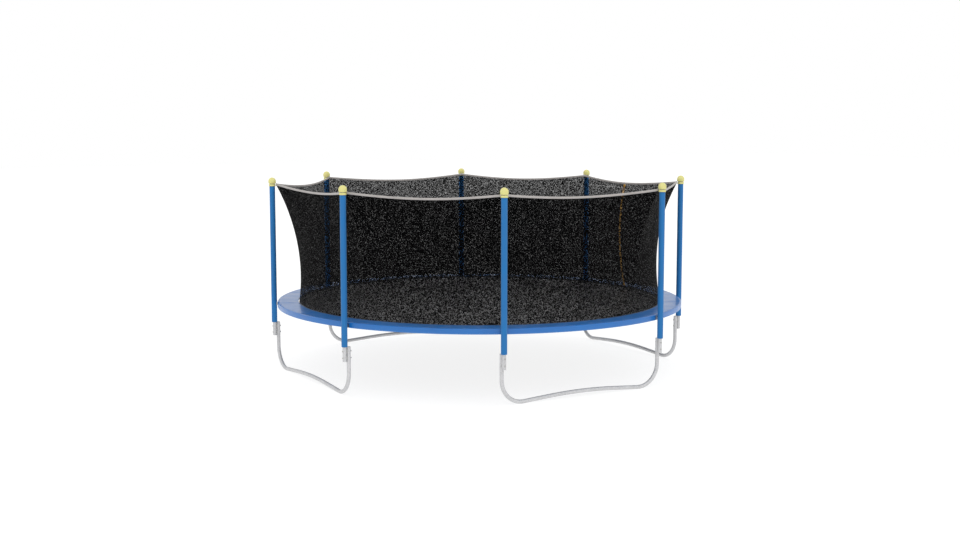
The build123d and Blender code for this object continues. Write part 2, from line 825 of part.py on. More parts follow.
def make_net_tie():
    """One tie about a pole at the origin: a loop in the cap's groove, a tab and a cross bar."""
    groove = tube_radius + cap_clearance + cap_groove_wall
    loop_bottom = foam_top + cap_collar_height + fit_gap
    loop_height = cap_groove_height - 2 * fit_gap
    bar_radius = hem_diameter / 4
    with BuildPart() as tie:
        with BuildSketch(Plane.XY.offset(loop_bottom)):
            Circle(groove + fit_gap + 3)
            Circle(groove + fit_gap, mode=Mode.SUBTRACT)
            with Locations((-groove - 1, 0)):
                Rectangle(hem_to_pole - groove - 1, 2 * hem_diameter, align=(Align.MAX, Align.CENTER))
        extrude(amount=loop_height)
        with BuildSketch(Plane.XZ.offset(-hem_end_gap + 3)):
            with Locations((-hem_to_pole, hem_height)):
                Circle(bar_radius)
        extrude(amount=2 * hem_end_gap - 6)
    return tie.part


# Frame ring, legs and poles
for number, mid in enumerate(pair_angles, start=1):
    save(make_leg(mid), f"leg_{number}")
for number in range(rail_count):
    save(make_rail(number), f"top_rail_{number + 1}")
for number, angle in enumerate(pole_angles):
    mid = pair_angles[number // 2]
    save(make_lower_pole(angle, mid), f"lower_pole_{number + 1}")
    save(make_foam_sleeve(angle), f"foam_sleeve_{number + 1}")
save(make_at_poles(make_upper_pole()), "upper_poles")
save(make_at_poles(make_cap()), "pole_caps")

# Fasteners and brackets
save(make_rail_screws(), "rail_screws")
save(make_leg_spacers(), "leg_spacers")
save(make_rail_brackets(), "rail_brackets")
leg_grip = 2 * tube_diameter + leg_to_pole_gap + nut_height
rail_grip = pole_circle - ring_radius + tube_diameter + nut_height
save(make_bolts(leg_bolt_planes(), leg_grip), "leg_bolts")
save(make_bolts(rail_bolt_planes(), rail_grip), "rail_bolts")
save(make_lock_nuts(), "lock_nuts")

# Mat, springs and pad
save(make_jumping_mat(), "jumping_mat")
save(make_mat_edge_webbing(), "mat_edge_webbing")
save(make_mat_v_rings(), "mat_v_rings")
save(make_springs(), "springs")
save(make_frame_pad(), "frame_pad")
save(make_pad_ties(), "pad_ties")

# Net, door and zip
door_panel = make_net_panel(1)
save(make_door_panel(door_panel), "net_panel_1")
save(make_door_flap(door_panel), "door_flap")
for number in range(2, 9):
    save(make_net_panel(number), f"net_panel_{number}")
save(make_net_bottom_hem(), "net_bottom_hem")
save(make_net_top_hem(), "net_top_hem")
save(make_at_poles(make_net_tie()), "net_ties")
save(make_zipper_tape(), "zipper_tape")
save(make_zip_half(1, door_bottom, door_top), "flap_zip_tape")
save(make_zipper_slider(), "zipper_slider")
save(make_zipper_pull(), "zipper_pull")

print("poles on a circle of radius", round(pole_circle, 2))
print("zip arc centre", round(zip_x, 3), round(zip_z, 3), "radius", round(zip_radius, 3))
print("zip travel, degrees", round(zip_angle(park_high) - zip_angle(park_low), 3))
print("pull pin", pull_pin_point())
hinge_turn = degrees(atan2(door_hinge_offset, net_bottom_radius))
hinge_edge = net_section(pair_half_angle, hinge_turn / pair_half_angle, 0)
print("net at the door's hinge", hinge_edge)
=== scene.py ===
import json
import math

import bmesh
import bpy
from mathutils import Matrix, Vector, noise

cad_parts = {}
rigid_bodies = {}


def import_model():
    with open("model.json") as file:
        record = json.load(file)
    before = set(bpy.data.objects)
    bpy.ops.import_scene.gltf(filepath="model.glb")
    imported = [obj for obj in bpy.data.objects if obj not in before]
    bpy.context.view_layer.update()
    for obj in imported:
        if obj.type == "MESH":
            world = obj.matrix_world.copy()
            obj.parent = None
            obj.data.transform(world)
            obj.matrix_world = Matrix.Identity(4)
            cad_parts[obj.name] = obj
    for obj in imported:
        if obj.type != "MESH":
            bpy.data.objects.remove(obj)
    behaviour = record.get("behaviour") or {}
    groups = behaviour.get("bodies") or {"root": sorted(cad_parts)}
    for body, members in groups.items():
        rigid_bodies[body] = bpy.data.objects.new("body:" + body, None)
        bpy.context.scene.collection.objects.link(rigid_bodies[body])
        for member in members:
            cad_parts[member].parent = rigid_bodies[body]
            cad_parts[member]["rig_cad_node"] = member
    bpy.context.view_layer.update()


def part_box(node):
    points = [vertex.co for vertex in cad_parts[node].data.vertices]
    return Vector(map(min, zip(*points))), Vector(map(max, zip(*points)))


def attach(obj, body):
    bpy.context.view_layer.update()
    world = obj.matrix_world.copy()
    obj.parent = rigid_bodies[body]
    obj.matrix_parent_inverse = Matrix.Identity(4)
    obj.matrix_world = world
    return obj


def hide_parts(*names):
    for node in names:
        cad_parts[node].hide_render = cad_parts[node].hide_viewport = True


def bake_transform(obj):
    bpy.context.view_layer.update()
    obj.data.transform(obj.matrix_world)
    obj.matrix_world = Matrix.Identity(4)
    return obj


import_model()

cadNodes = {o.name: o for o in bpy.context.scene.objects if "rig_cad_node" in o}


# Small helpers that every piece uses


def deselectAll():
    if bpy.context.object and bpy.context.object.mode != "OBJECT":
        bpy.ops.object.mode_set(mode="OBJECT")
    bpy.ops.object.select_all(action="DESELECT")


def takeUp(piece):
    deselectAll()
    piece.select_set(True)
    bpy.context.view_layer.objects.active = piece


def applyPlace(piece):
    takeUp(piece)
    bpy.ops.object.transform_apply(location=True, rotation=True, scale=True)


def addModifier(piece, kind, **values):
    takeUp(piece)
    modifier = piece.modifiers.new(kind.title(), kind)
    for key, value in values.items():
        setattr(modifier, key, value)
    bpy.ops.object.modifier_apply(modifier=modifier.name)


def pickFaces(piece, test):
    # selects the faces whose middle passes the test, and leaves the piece in edit mode
    takeUp(piece)
    bpy.ops.object.mode_set(mode="EDIT")
    bpy.ops.mesh.select_all(action="DESELECT")
    bpy.ops.mesh.select_mode(type="FACE")
    bpy.ops.object.mode_set(mode="OBJECT")
    for face in piece.data.polygons:
        face.select = bool(test(face.center))
    bpy.ops.object.mode_set(mode="EDIT")


def closeUp(piece, gap=1e-5):
    # merges the doubles and turns the faces outwards
    takeUp(piece)
    bpy.ops.object.mode_set(mode="EDIT")
    bpy.ops.mesh.select_mode(type="VERT")
    bpy.ops.mesh.select_all(action="SELECT")
    bpy.ops.mesh.remove_doubles(threshold=gap)
    bpy.ops.mesh.normals_make_consistent(inside=False)
    bpy.ops.object.mode_set(mode="OBJECT")


def turnRings(name, centre, rings, sides, closed=False):
    # a circle drawn out ring by ring about an upright axis; rings are (radius, height)
    deselectAll()
    radius, height = rings[0]
    place = (centre[0], centre[1], height)
    bpy.ops.mesh.primitive_circle_add(vertices=sides, radius=radius, location=place)
    piece = bpy.context.object
    piece.name = name
    applyPlace(piece)
    bpy.ops.object.mode_set(mode="EDIT")
    bpy.ops.mesh.select_mode(type="VERT")
    bpy.ops.mesh.select_all(action="SELECT")
    for nextRadius, nextHeight in rings[1:]:
        bpy.ops.mesh.extrude_region_move(TRANSFORM_OT_translate={"value": (0, 0, nextHeight - height)})
        factor = nextRadius / radius
        middle = (centre[0], centre[1], nextHeight)
        bpy.ops.transform.resize(value=(factor, factor, 1), center_override=middle)
        radius, height = nextRadius, nextHeight
    bpy.ops.object.mode_set(mode="OBJECT")
    if closed:
        closeUp(piece)
    return piece


def gridSheet(name, columns, rows, place):
    # a grid of points that place(column, row) gives, each with its flat (u, v) in metres
    deselectAll()
    bpy.ops.mesh.primitive_grid_add(x_subdivisions=columns, y_subdivisions=rows, size=1)
    piece = bpy.context.object
    piece.name = name
    flat = {}
    for vertex in piece.data.vertices:
        column = round((vertex.co.x + 0.5) * columns)
        row = round((vertex.co.y + 0.5) * rows)
        vertex.co, flat[vertex.index] = place(column, row)
    layer = piece.data.uv_layers.active
    for loop in piece.data.loops:
        layer.data[loop.index].uv = flat[loop.vertex_index]
    return piece


def copiesOf(name, master, places):
    # one mesh that holds a copy of the master at each place
    made = bmesh.new()
    for place in places:
        part = master.data.copy()
        part.transform(place)
        made.from_mesh(part)
        bpy.data.meshes.remove(part)
    mesh = bpy.data.meshes.new(name)
    made.to_mesh(mesh)
    made.free()
    piece = bpy.data.objects.new(name, mesh)
    bpy.context.collection.objects.link(piece)
    return piece


def joinUp(name, parts):
    deselectAll()
    for part in parts:
        part.select_set(True)
    bpy.context.view_layer.objects.active = parts[0]
    bpy.ops.object.join()
    parts[0].name = name
    return parts[0]


def discard(piece):
    deselectAll()
    bpy.data.objects.remove(piece, do_unlink=True)


def smooth(piece, degrees=40):
    takeUp(piece)
    bpy.ops.object.shade_smooth_by_angle(angle=math.radians(degrees))


def dress(piece, material, degrees=40):
    piece.data.materials.clear()
    piece.data.materials.append(material)
    smooth(piece, degrees)


def polar(radius, degrees, height=0.0):
    angle = math.radians(degrees)
    return Vector((radius * math.cos(angle), radius * math.sin(angle), height))


def turnedTo(degrees, radius=0.0, height=0.0):
    # the place of a copy that was modelled facing +X
    return Matrix.Rotation(math.radians(degrees), 4, "Z") @ Matrix.Translation((radius, 0, height))


def colourOf(red, green, blue):
    # screen values 0 to 255 as a shader colour
    def straight(value):
        value /= 255
        return value / 12.92 if value <= 0.04045 else ((value + 0.055) / 1.055) ** 2.4

    return (straight(red), straight(green), straight(blue), 1.0)


# Where the frame's pieces stand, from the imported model

legPole = {"pairAngle": 24.165, "sleeves": 8}
poleSpots = []
for number in range(1, legPole["sleeves"] + 1):
    low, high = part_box(f"foam_sleeve_{number}")
    poleSpots.append(Vector(((low[0] + high[0]) / 2, (low[1] + high[1]) / 2, 0)))
poleAngles = [math.degrees(math.atan2(spot.y, spot.x)) for spot in poleSpots]
poleCircle = poleSpots[0].length
matLow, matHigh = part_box("jumping_mat")
matRadius = (matHigh[0] - matLow[0]) / 2
padLow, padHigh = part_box("frame_pad")
padOuter = (padHigh[0] - padLow[0]) / 2
railLow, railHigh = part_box("top_rail_1")
ringHeight = (railLow[2] + railHigh[2]) / 2
tubeRadius = (railHigh[2] - railLow[2]) / 2
print("frame read:", len(cadNodes), "nodes")


# Node helpers


def putNode(tree, kind, inputs=None, **settings):
    node = tree.nodes.new(kind)
    for key, value in settings.items():
        setattr(node, key, value)
    for key, value in (inputs or {}).items():
        if isinstance(value, bpy.types.NodeSocket):
            tree.links.new(value, node.inputs[key])
        else:
            node.inputs[key].default_value = value
    return node


def calc(tree, operation, *values, clamp=False):
    inputs = dict(enumerate(values))
    return putNode(tree, "ShaderNodeMath", inputs, operation=operation, use_clamp=clamp).outputs[0]


def objectSpot(tree):
    return putNode(tree, "ShaderNodeTexCoord").outputs["Object"]


def axesOf(tree, spot):
    return putNode(tree, "ShaderNodeSeparateXYZ", {0: spot}).outputs


def speckle(tree, spot, scale, detail=2.0, roughness=0.5, stretch=None):
    if stretch:
        spot = putNode(tree, "ShaderNodeMapping", {"Vector": spot, "Scale": stretch}).outputs[0]
    inputs = {"Vector": spot, "Scale": scale, "Detail": detail, "Roughness": roughness}
    return putNode(tree, "ShaderNodeTexNoise", inputs).outputs["Fac"]


def ranged(tree, value, fromLow, fromHigh, toLow, toHigh):
    inputs = {0: value, 1: fromLow, 2: fromHigh, 3: toLow, 4: toHigh}
    return putNode(tree, "ShaderNodeMapRange", inputs).outputs[0]


def mixed(tree, share, first, second):
    node = putNode(tree, "ShaderNodeMix", data_type="RGBA")
    colourInputs = [s for s in node.inputs if s.type == "RGBA"]
    for socket, value in ((node.inputs[0], share), *zip(colourInputs, (first, second))):
        if isinstance(value, bpy.types.NodeSocket):
            tree.links.new(value, socket)
        else:
            socket.default_value = value
    return [s for s in node.outputs if s.type == "RGBA"][0]


def wave(tree, value, turn):
    return calc(tree, "SINE", calc(tree, "MULTIPLY", value, turn))


def lineAt(tree, value, place, halfWidth):
    # one where the value is within half a width of the place, and nought elsewhere
    return calc(tree, "LESS_THAN", calc(tree, "ABSOLUTE", calc(tree, "SUBTRACT", value, place)), halfWidth)


def roundSpot(tree, axes):
    # the radius and the angle about the upright axis
    squares = [calc(tree, "POWER", axes[k], 2) for k in (0, 1)]
    return calc(tree, "SQRT", calc(tree, "ADD", *squares)), calc(tree, "ARCTAN2", axes[1], axes[0])


def linesAt(tree, value, places, halfWidth):
    rows = [lineAt(tree, value, place, halfWidth) for place in places]
    whole = rows[0]
    for row in rows[1:]:
        whole = calc(tree, "MAXIMUM", whole, row)
    return whole


def bumped(tree, height, strength, distance, before=None):
    inputs = {"Height": height, "Strength": strength, "Distance": distance}
    if before:
        inputs["Normal"] = before
    return putNode(tree, "ShaderNodeBump", inputs).outputs[0]


def startFinish(name, **look):
    material = bpy.data.materials.new(name)
    material.use_nodes = True
    tree = material.node_tree
    shader = next(n for n in tree.nodes if n.type == "BSDF_PRINCIPLED")
    for key, value in look.items():
        shader.inputs[key.replace("_", " ")].default_value = value
    return material, tree, shader


def wire(tree, shader, **links):
    for key, value in links.items():
        tree.links.new(value, shader.inputs[key.replace("_", " ")])


# Finishes


def tubeSteel(name, values):
    # hot-dip zinc: crystals of slightly different greys, dull spots and fine rub marks
    material, tree, shader = startFinish(name, Metallic=values["metal"])
    spot = objectSpot(tree)
    crystals = putNode(tree, "ShaderNodeTexVoronoi", {"Vector": spot, "Scale": values["crystalsPerMetre"]})
    tone = putNode(tree, "ShaderNodeSeparateColor", {0: crystals.outputs["Color"]}).outputs[0]
    stain = speckle(tree, spot, 9, 4, 0.6)
    rubs = speckle(tree, spot, 60, 3, 0.7, (1, 1, 0.08))
    share = calc(tree, "MULTIPLY_ADD", tone, 0.45, calc(tree, "MULTIPLY", stain, 0.7), clamp=True)
    wire(
        tree,
        shader,
        Base_Color=mixed(tree, share, colourOf(*values["dull"]), colourOf(*values["bright"])),
        Roughness=calc(
            tree,
            "MULTIPLY_ADD",
            tone,
            values["shineSpread"],
            calc(tree, "MULTIPLY_ADD", rubs, 0.22, values["roughness"] - 0.11),
        ),
        Normal=bumped(tree, calc(tree, "ADD", tone, rubs), 0.12, 0.0004),
    )
    return material


def foamSkin(name, values):
    # closed-cell foam with a smooth blue skin: tiny cells, handling dents, chalky high spots
    material, tree, shader = startFinish(name, Sheen_Weight=0.12, Sheen_Roughness=0.5)
    spot = objectSpot(tree)
    cells = putNode(tree, "ShaderNodeTexVoronoi", {"Vector": spot, "Scale": 620}).outputs["Distance"]
    cloud = speckle(tree, spot, 7, 3, 0.6)
    dents = speckle(tree, spot, 34, 2, 0.5, (1, 1, 0.3))
    share = calc(tree, "MULTIPLY_ADD", cells, 0.25, calc(tree, "MULTIPLY", cloud, 0.8), clamp=True)
    wire(
        tree,
        shader,
        Base_Color=mixed(tree, share, colourOf(*values["deep"]), colourOf(*values["light"])),
        Roughness=ranged(tree, cloud, 0.3, 0.7, values["roughness"] - 0.06, values["roughness"] + 0.08),
        Normal=bumped(tree, dents, 0.25, 0.002, bumped(tree, cells, 0.2, 0.0005)),
    )
    return material


def padCover(name, values):
    # PVC over a woven scrim: the threads show through, with rows of stitching beside the edges
    material, tree, shader = startFinish(name, Coat_Weight=values["coat"], Coat_Roughness=0.12)
    spot = objectSpot(tree)
    axes = axesOf(tree, spot)
    radius, angle = roundSpot(tree, axes)
    along = calc(tree, "MULTIPLY", angle, padOuter)
    turn = values["threadsPerMetre"] * math.tau
    scrim = calc(tree, "MULTIPLY", wave(tree, along, turn), wave(tree, radius, turn))
    dash = calc(tree, "GREATER_THAN", wave(tree, along, math.tau / values["stitch"]), -0.45)
    rows = linesAt(tree, radius, values["stitchRadii"], values["halfThread"])
    rise = lineAt(tree, axes[2], values["skirtStitch"], values["halfThread"])
    onSkirt = calc(tree, "MULTIPLY", rise, calc(tree, "GREATER_THAN", radius, padOuter - 0.004))
    stitches = calc(tree, "MULTIPLY", calc(tree, "MAXIMUM", rows, onSkirt), dash)
    cloud = speckle(tree, spot, 5, 4, 0.6)
    scuffs = speckle(tree, spot, 40, 4, 0.7)
    base = mixed(tree, cloud, colourOf(*values["deep"]), colourOf(*values["light"]))
    wear = ranged(tree, scuffs, 0.62, 0.8, 0.0, 0.35)
    worn = mixed(tree, wear, base, colourOf(*values["scuffed"]))
    cloth = bumped(tree, scrim, 0.1, 0.0004, bumped(tree, scuffs, 0.05, 0.001))
    wire(
        tree,
        shader,
        Base_Color=mixed(tree, stitches, worn, colourOf(*values["thread"])),
        Roughness=ranged(tree, cloud, 0.3, 0.7, values["roughness"] - 0.05, values["roughness"] + 0.06),
        Normal=bumped(tree, stitches, 0.5, 0.001, cloth),
    )
    return material


def capPlastic(name, values):
    # moulded polypropylene with a fine orange-peel face and a few rubbed spots
    material, tree, shader = startFinish(name, Subsurface_Weight=0.06, Specular_IOR_Level=0.45)
    spot = objectSpot(tree)
    peel = speckle(tree, spot, 260, 3, 0.5)
    cloud = speckle(tree, spot, 22, 3, 0.6)
    wire(
        tree,
        shader,
        Base_Color=mixed(tree, cloud, colourOf(*values["deep"]), colourOf(*values["light"])),
        Roughness=ranged(tree, cloud, 0.3, 0.7, values["roughness"] - 0.08, values["roughness"] + 0.1),
        Normal=bumped(tree, peel, 0.12, 0.0004),
    )
    return material


def matCloth(name, values):
    # tight polypropylene weave: shiny slit tapes over and under each other, with large soft lighter
    # patches that are painted sheen
    material, tree, shader = startFinish(
        name, Specular_IOR_Level=values["shine"], Coat_Weight=0.45, Coat_Roughness=0.38
    )
    spot = objectSpot(tree)
    axes = axesOf(tree, spot)
    turn = values["tapesPerMetre"] * math.pi
    warp = calc(tree, "ABSOLUTE", wave(tree, axes[0], turn))
    weft = calc(tree, "ABSOLUTE", wave(tree, axes[1], turn))
    squares = {"Vector": spot, "Scale": values["tapesPerMetre"]}
    check = putNode(tree, "ShaderNodeTexChecker", squares).outputs["Fac"]
    one = calc(tree, "MULTIPLY", check, warp)
    other = calc(tree, "MULTIPLY", calc(tree, "SUBTRACT", 1.0, check), weft)
    weave = calc(tree, "ADD", one, other)
    # large soft patches that lighten the colour: a painted sheen standing for the soft reflection band of
    # the semi-gloss weave; they also vary the roughness and bump
    cloud = speckle(tree, spot, 1.3, 4, 0.6)
    streaks = speckle(tree, spot, 26, 2, 0.6, (0.05, 1, 1))
    share = calc(tree, "MULTIPLY_ADD", weave, 0.3, calc(tree, "MULTIPLY", cloud, 0.6), clamp=True)
    wire(
        tree,
        shader,
        Base_Color=mixed(tree, share, colourOf(*values["deep"]), colourOf(*values["light"])),
        Roughness=calc(
            tree,
            "ADD",
            ranged(tree, cloud, 0.3, 0.7, values["roughness"] - 0.05, values["roughness"] + 0.06),
            calc(tree, "MULTIPLY", streaks, 0.05),
        ),
        Normal=bumped(tree, weave, 0.15, 0.0005, bumped(tree, cloud, 0.3, 0.006)),
    )
    return material


def webbing(name, values):
    # ribbed polypropylene tape about the upright axis, with dashes of thread at set heights or radii
    material, tree, shader = startFinish(name, Sheen_Weight=0.15)
    spot = objectSpot(tree)
    axes = axesOf(tree, spot)
    radius, angle = roundSpot(tree, axes)
    along = calc(tree, "MULTIPLY", angle, values["atRadius"])
    ribs = wave(tree, along, math.tau / values["rib"])
    cross = calc(tree, "ADD", radius, axes[2])
    herring = calc(tree, "SINE", calc(tree, "MULTIPLY_ADD", cross, math.tau / values["rib"], ribs))
    fuzz = speckle(tree, spot, 300, 2, 0.6)
    cloud = speckle(tree, spot, 6, 3, 0.6)
    share = calc(tree, "MULTIPLY_ADD", herring, 0.12, calc(tree, "MULTIPLY", cloud, 0.9), clamp=True)
    colour = mixed(tree, share, colourOf(*values["deep"]), colourOf(*values["light"]))
    height = herring
    if values.get("stitchRadii"):
        dash = calc(tree, "GREATER_THAN", wave(tree, along, math.tau / values["stitch"]), -0.4)
        rows = linesAt(tree, radius, values["stitchRadii"], values["halfThread"])
        stitches = calc(tree, "MULTIPLY", rows, dash)
        colour = mixed(tree, stitches, colour, colourOf(*values["thread"]))
        height = calc(tree, "ADD", herring, calc(tree, "MULTIPLY", stitches, 2.0))
    wire(
        tree,
        shader,
        Base_Color=colour,
        Roughness=ranged(tree, fuzz, 0.3, 0.7, values["roughness"] - 0.07, values["roughness"] + 0.07),
        Normal=bumped(tree, height, 0.3, 0.0005, bumped(tree, fuzz, 0.1, 0.0005)),
    )
    return material


def knitNet(name, values):
    # knitted polyester: small openings between the threads, each drawn open by a different amount
    material, tree, shader = startFinish(name, Roughness=values["roughness"], Specular_IOR_Level=0.02)
    flat = putNode(tree, "ShaderNodeTexCoord").outputs["UV"]
    cell = {"Vector": flat, "Scale": 1 / values["opening"], "Randomness": values["looseness"]}

    def cells(feature):
        return putNode(
            tree, "ShaderNodeTexVoronoi", cell, voronoi_dimensions="2D", feature=feature
        ).outputs

    edge = cells("DISTANCE_TO_EDGE")["Distance"]
    chance = putNode(tree, "ShaderNodeSeparateColor", {0: cells("F1")["Color"]}).outputs[0]
    widest, thinnest = values["widestThread"], values["thinnestThread"]
    drawn = ranged(tree, chance, values["shutShare"], 1.0, widest, thinnest)
    hole = calc(tree, "GREATER_THAN", edge, drawn)
    axes = axesOf(tree, flat)
    turn = math.tau / values["stitchPitch"]
    loops = calc(tree, "MULTIPLY", wave(tree, axes[0], turn), wave(tree, axes[1], turn))
    pinholes = calc(tree, "GREATER_THAN", loops, values["pinhole"])
    clear = calc(tree, "MAXIMUM", hole, pinholes)
    twist = wave(tree, calc(tree, "ADD", axes[0], axes[1]), 2400)
    tone = calc(tree, "MULTIPLY_ADD", twist, 0.3, chance, clamp=True)
    wire(
        tree,
        shader,
        Base_Color=mixed(tree, tone, colourOf(*values["deep"]), colourOf(*values["light"])),
        Alpha=calc(tree, "SUBTRACT", 1.0, clear),
        Normal=bumped(tree, edge, 0.3, 0.001, bumped(tree, twist, 0.2, 0.0004)),
    )
    return material


def bareMetal(name, values):
    # plated or drawn steel with fine scratches and duller patches
    material, tree, shader = startFinish(name, Metallic=1.0)
    spot = objectSpot(tree)
    scratches = speckle(tree, spot, 500, 3, 0.7, (1, 1, 0.15))
    patches = speckle(tree, spot, 45, 3, 0.6)
    wire(
        tree,
        shader,
        Base_Color=mixed(tree, patches, colourOf(*values["dull"]), colourOf(*values["bright"])),
        Roughness=calc(
            tree,
            "ADD",
            ranged(tree, patches, 0.35, 0.7, values["roughness"] + 0.12, values["roughness"] - 0.05),
            calc(tree, "MULTIPLY", scratches, 0.12),
        ),
        Normal=bumped(tree, scratches, 0.12, 0.0003),
    )
    return material


def strapTape(name, values):
    # small woven tape that follows the piece by its own object coordinates
    material, tree, shader = startFinish(name, Sheen_Weight=0.2)
    spot = objectSpot(tree)
    axes = axesOf(tree, spot)
    turn = math.tau / values["rib"]
    cross = wave(tree, calc(tree, "ADD", axes[0], axes[1]), turn)
    weave = calc(tree, "MULTIPLY", wave(tree, axes[2], turn), cross)
    fuzz = speckle(tree, spot, 240, 3, 0.6)
    share = calc(tree, "MULTIPLY_ADD", weave, 0.2, fuzz, clamp=True)
    wire(
        tree,
        shader,
        Base_Color=mixed(tree, share, colourOf(*values["deep"]), colourOf(*values["light"])),
        Roughness=ranged(tree, fuzz, 0.3, 0.7, values["roughness"] - 0.08, values["roughness"] + 0.08),
        Normal=bumped(tree, weave, 0.3, 0.0004, bumped(tree, fuzz, 0.15, 0.0004)),
    )
    return material


steelLook = {
    "dull": (176, 176, 178),
    "bright": (212, 212, 213),
    "metal": 0.35,
    "roughness": 0.42,
    "shineSpread": 0.1,
    "crystalsPerMetre": 95,
}
foamLook = {"deep": (4, 97, 158), "light": (8, 110, 177), "roughness": 0.7}
padLook = {
    "deep": (6, 94, 168),
    "light": (12, 108, 184),
    "scuffed": (70, 130, 190),
    "thread": (96, 150, 205),
    "roughness": 0.36,
    "coat": 0.24,
    "threadsPerMetre": 420,
    "stitch": 0.009,
    "halfThread": 0.0011,
    "stitchRadii": (2.081, 2.284),
    "skirtStitch": 0.7245,
}
capLook = {"deep": (206, 200, 122), "light": (222, 217, 145), "roughness": 0.42}
matLook = {
    "deep": (38, 38, 39),
    "light": (58, 58, 59),
    "roughness": 0.42,
    "shine": 1.0,
    "tapesPerMetre": 260,
}
edgeLook = {
    "deep": (18, 18, 20),
    "light": (34, 34, 36),
    "thread": (92, 92, 96),
    "roughness": 0.6,
    "rib": 0.0022,
    "atRadius": 2.02,
    "stitch": 0.008,
    "halfThread": 0.0009,
    "stitchRadii": (1.996, 2.012, 2.034),
}
hemLook = {
    "deep": (150, 145, 142),
    "light": (186, 181, 178),
    "roughness": 0.65,
    "rib": 0.003,
    "atRadius": 2.25,
}
lowerHemLook = {
    "deep": (22, 22, 24),
    "light": (44, 44, 47),
    "roughness": 0.65,
    "rib": 0.003,
    "atRadius": 2.06,
}
netLook = {
    "deep": (1, 1, 1),
    "light": (6, 6, 7),
    "roughness": 0.8,
    "opening": 0.008,
    "looseness": 0.9,
    "shutShare": 0.42,
    "widestThread": 0.42,
    "thinnestThread": 0.02,
    "stitchPitch": 0.0042,
    "pinhole": 0.97,
}
hardwareLook = {"dull": (150, 150, 145), "bright": (200, 200, 196), "roughness": 0.3}
springLook = {"dull": (120, 121, 124), "bright": (176, 177, 180), "roughness": 0.32}
ringLook = {"dull": (96, 95, 90), "bright": (140, 138, 130), "roughness": 0.38}
brassLook = {"dull": (168, 124, 44), "bright": (214, 168, 74), "roughness": 0.38}
zipTapeLook = {"deep": (150, 108, 26), "light": (188, 142, 44), "roughness": 0.7, "rib": 0.0016}
pullLook = {"deep": (74, 50, 26), "light": (104, 74, 40), "roughness": 0.55, "rib": 0.002}
tieLook = {"deep": (20, 20, 22), "light": (48, 48, 52), "roughness": 0.7, "rib": 0.0018}
tieTapeLook = {"deep": (128, 124, 120), "light": (168, 164, 160), "roughness": 0.7, "rib": 0.0022}

galvanisedTube = tubeSteel("galvanisedTube", steelLook)
blueFoam = foamSkin("blueFoam", foamLook)
padVinyl = padCover("padVinyl", padLook)
yellowCap = capPlastic("yellowCap", capLook)
blackMatCloth = matCloth("blackMatCloth", matLook)
matEdgeTape = webbing("matEdgeTape", edgeLook)
greyHemTape = webbing("greyHemTape", hemLook)
blackHemTape = webbing("blackHemTape", lowerHemLook)
blackNet = knitNet("blackNet", netLook)
zincHardware = bareMetal("zincHardware", hardwareLook)
springWire = bareMetal("springWire", springLook)
ringWire = bareMetal("ringWire", ringLook)
zipBrass = bareMetal("zipBrass", brassLook)
zipTape = strapTape("zipTape", zipTapeLook)
pullTape = strapTape("pullTape", pullLook)
elasticTape = strapTape("elasticTape", tieLook)
greyTieTape = strapTape("greyTieTape", tieTapeLook)
print("finishes made")

# CAD pieces that keep their shape get their finish here
nodeFinishes = {
    "leg_": galvanisedTube,
    "top_rail_": galvanisedTube,
    "lower_pole_": galvanisedTube,
    "upper_poles": galvanisedTube,
    "pole_caps": yellowCap,
    "leg_spacers": zincHardware,
    "rail_brackets": zincHardware,
    "leg_bolts": zincHardware,
    "rail_bolts": zincHardware,
    "rail_screws": zincHardware,
    "lock_nuts": zincHardware,
    "mat_v_rings": ringWire,
    "zipper_slider": zipBrass,
    "zipper_pull": pullTape,
}
for nodeName, node in cadNodes.items():
    for start, material in nodeFinishes.items():
        if nodeName.startswith(start):
            for holder in node.material_slots:
                holder.material = material


# Foam sleeves on the poles

sleeve = {
    "wall": 0.0105,
    "bore": 0.0004,
    "lip": 0.003,
    "sides": 36,
    "step": 0.06,
    "dent": 0.0006,
    "slit": 0.0012,
    "slitTurn": 35,
    "slitSpread": 0.09,
}


def foamSleeve(number):
    low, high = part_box(f"foam_sleeve_{number}")
    centre = ((low[0] + high[0]) / 2, (low[1] + high[1]) / 2)
    radius = (high[0] - low[0]) / 2
    bore = radius - sleeve["wall"] + sleeve["bore"]
    lip = sleeve["lip"]
    foot, top = low[2], high[2]
    rings = [(bore, foot + lip), (bore + lip, foot), (radius - lip, foot), (radius, foot + lip)]
    count = int((top - foot) / sleeve["step"])
    for step in range(1, count):
        rings.append((radius, foot + (top - foot) * step / count))
    rings += [(radius, top - lip), (radius - lip, top), (bore + lip, top), (bore, top - lip)]
    rings.append(rings[0])
    piece = turnRings(f"foamSleeve{number}", centre, rings, sleeve["sides"], closed=True)
    middle = Vector((centre[0], centre[1], 0))
    inward = math.atan2(-centre[1], -centre[0]) + math.radians(sleeve["slitTurn"])
    for vertex in piece.data.vertices:
        out = vertex.co - middle
        out.z = 0
        if out.length < radius - lip / 2:
            continue
        turn = (math.atan2(out.y, out.x) - inward + math.pi) % math.tau - math.pi
        soft = noise.noise(vertex.co * 9) * sleeve["dent"]
        cut = sleeve["slit"] * math.exp(-((turn / sleeve["slitSpread"]) ** 2))
        vertex.co += out.normalized() * (soft - sleeve["dent"] - cut)
    dress(piece, blueFoam, 50)
    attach(piece, "frame")
    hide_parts(f"foam_sleeve_{number}")


for number in range(1, legPole["sleeves"] + 1):
    foamSleeve(number)
print("foam sleeves done")


# Frame pad: a crowned ring of foam in vinyl, with radial seams and a skirt over the ring

pad = {
    "sides": 768,
    "crown": 0.0035,
    "seams": 16,
    "seamOffset": 5.0,
    "seamDepth": 0.0045,
    "seamSpread": 0.02,
    "puckerSpread": 0.09,
    "ripple": 0.0012,
    "inner": 2.0682,
    "bottom": 0.7612,
    "skirtBottom": 0.7175,
    "skirtThick": 0.0035,
    "skirtRows": (0.751, 0.741, 0.731, 0.7255),
    "rippleTop": 0.757,
    "notchTop": 0.7555,
    "notchHalf": 0.022,
}


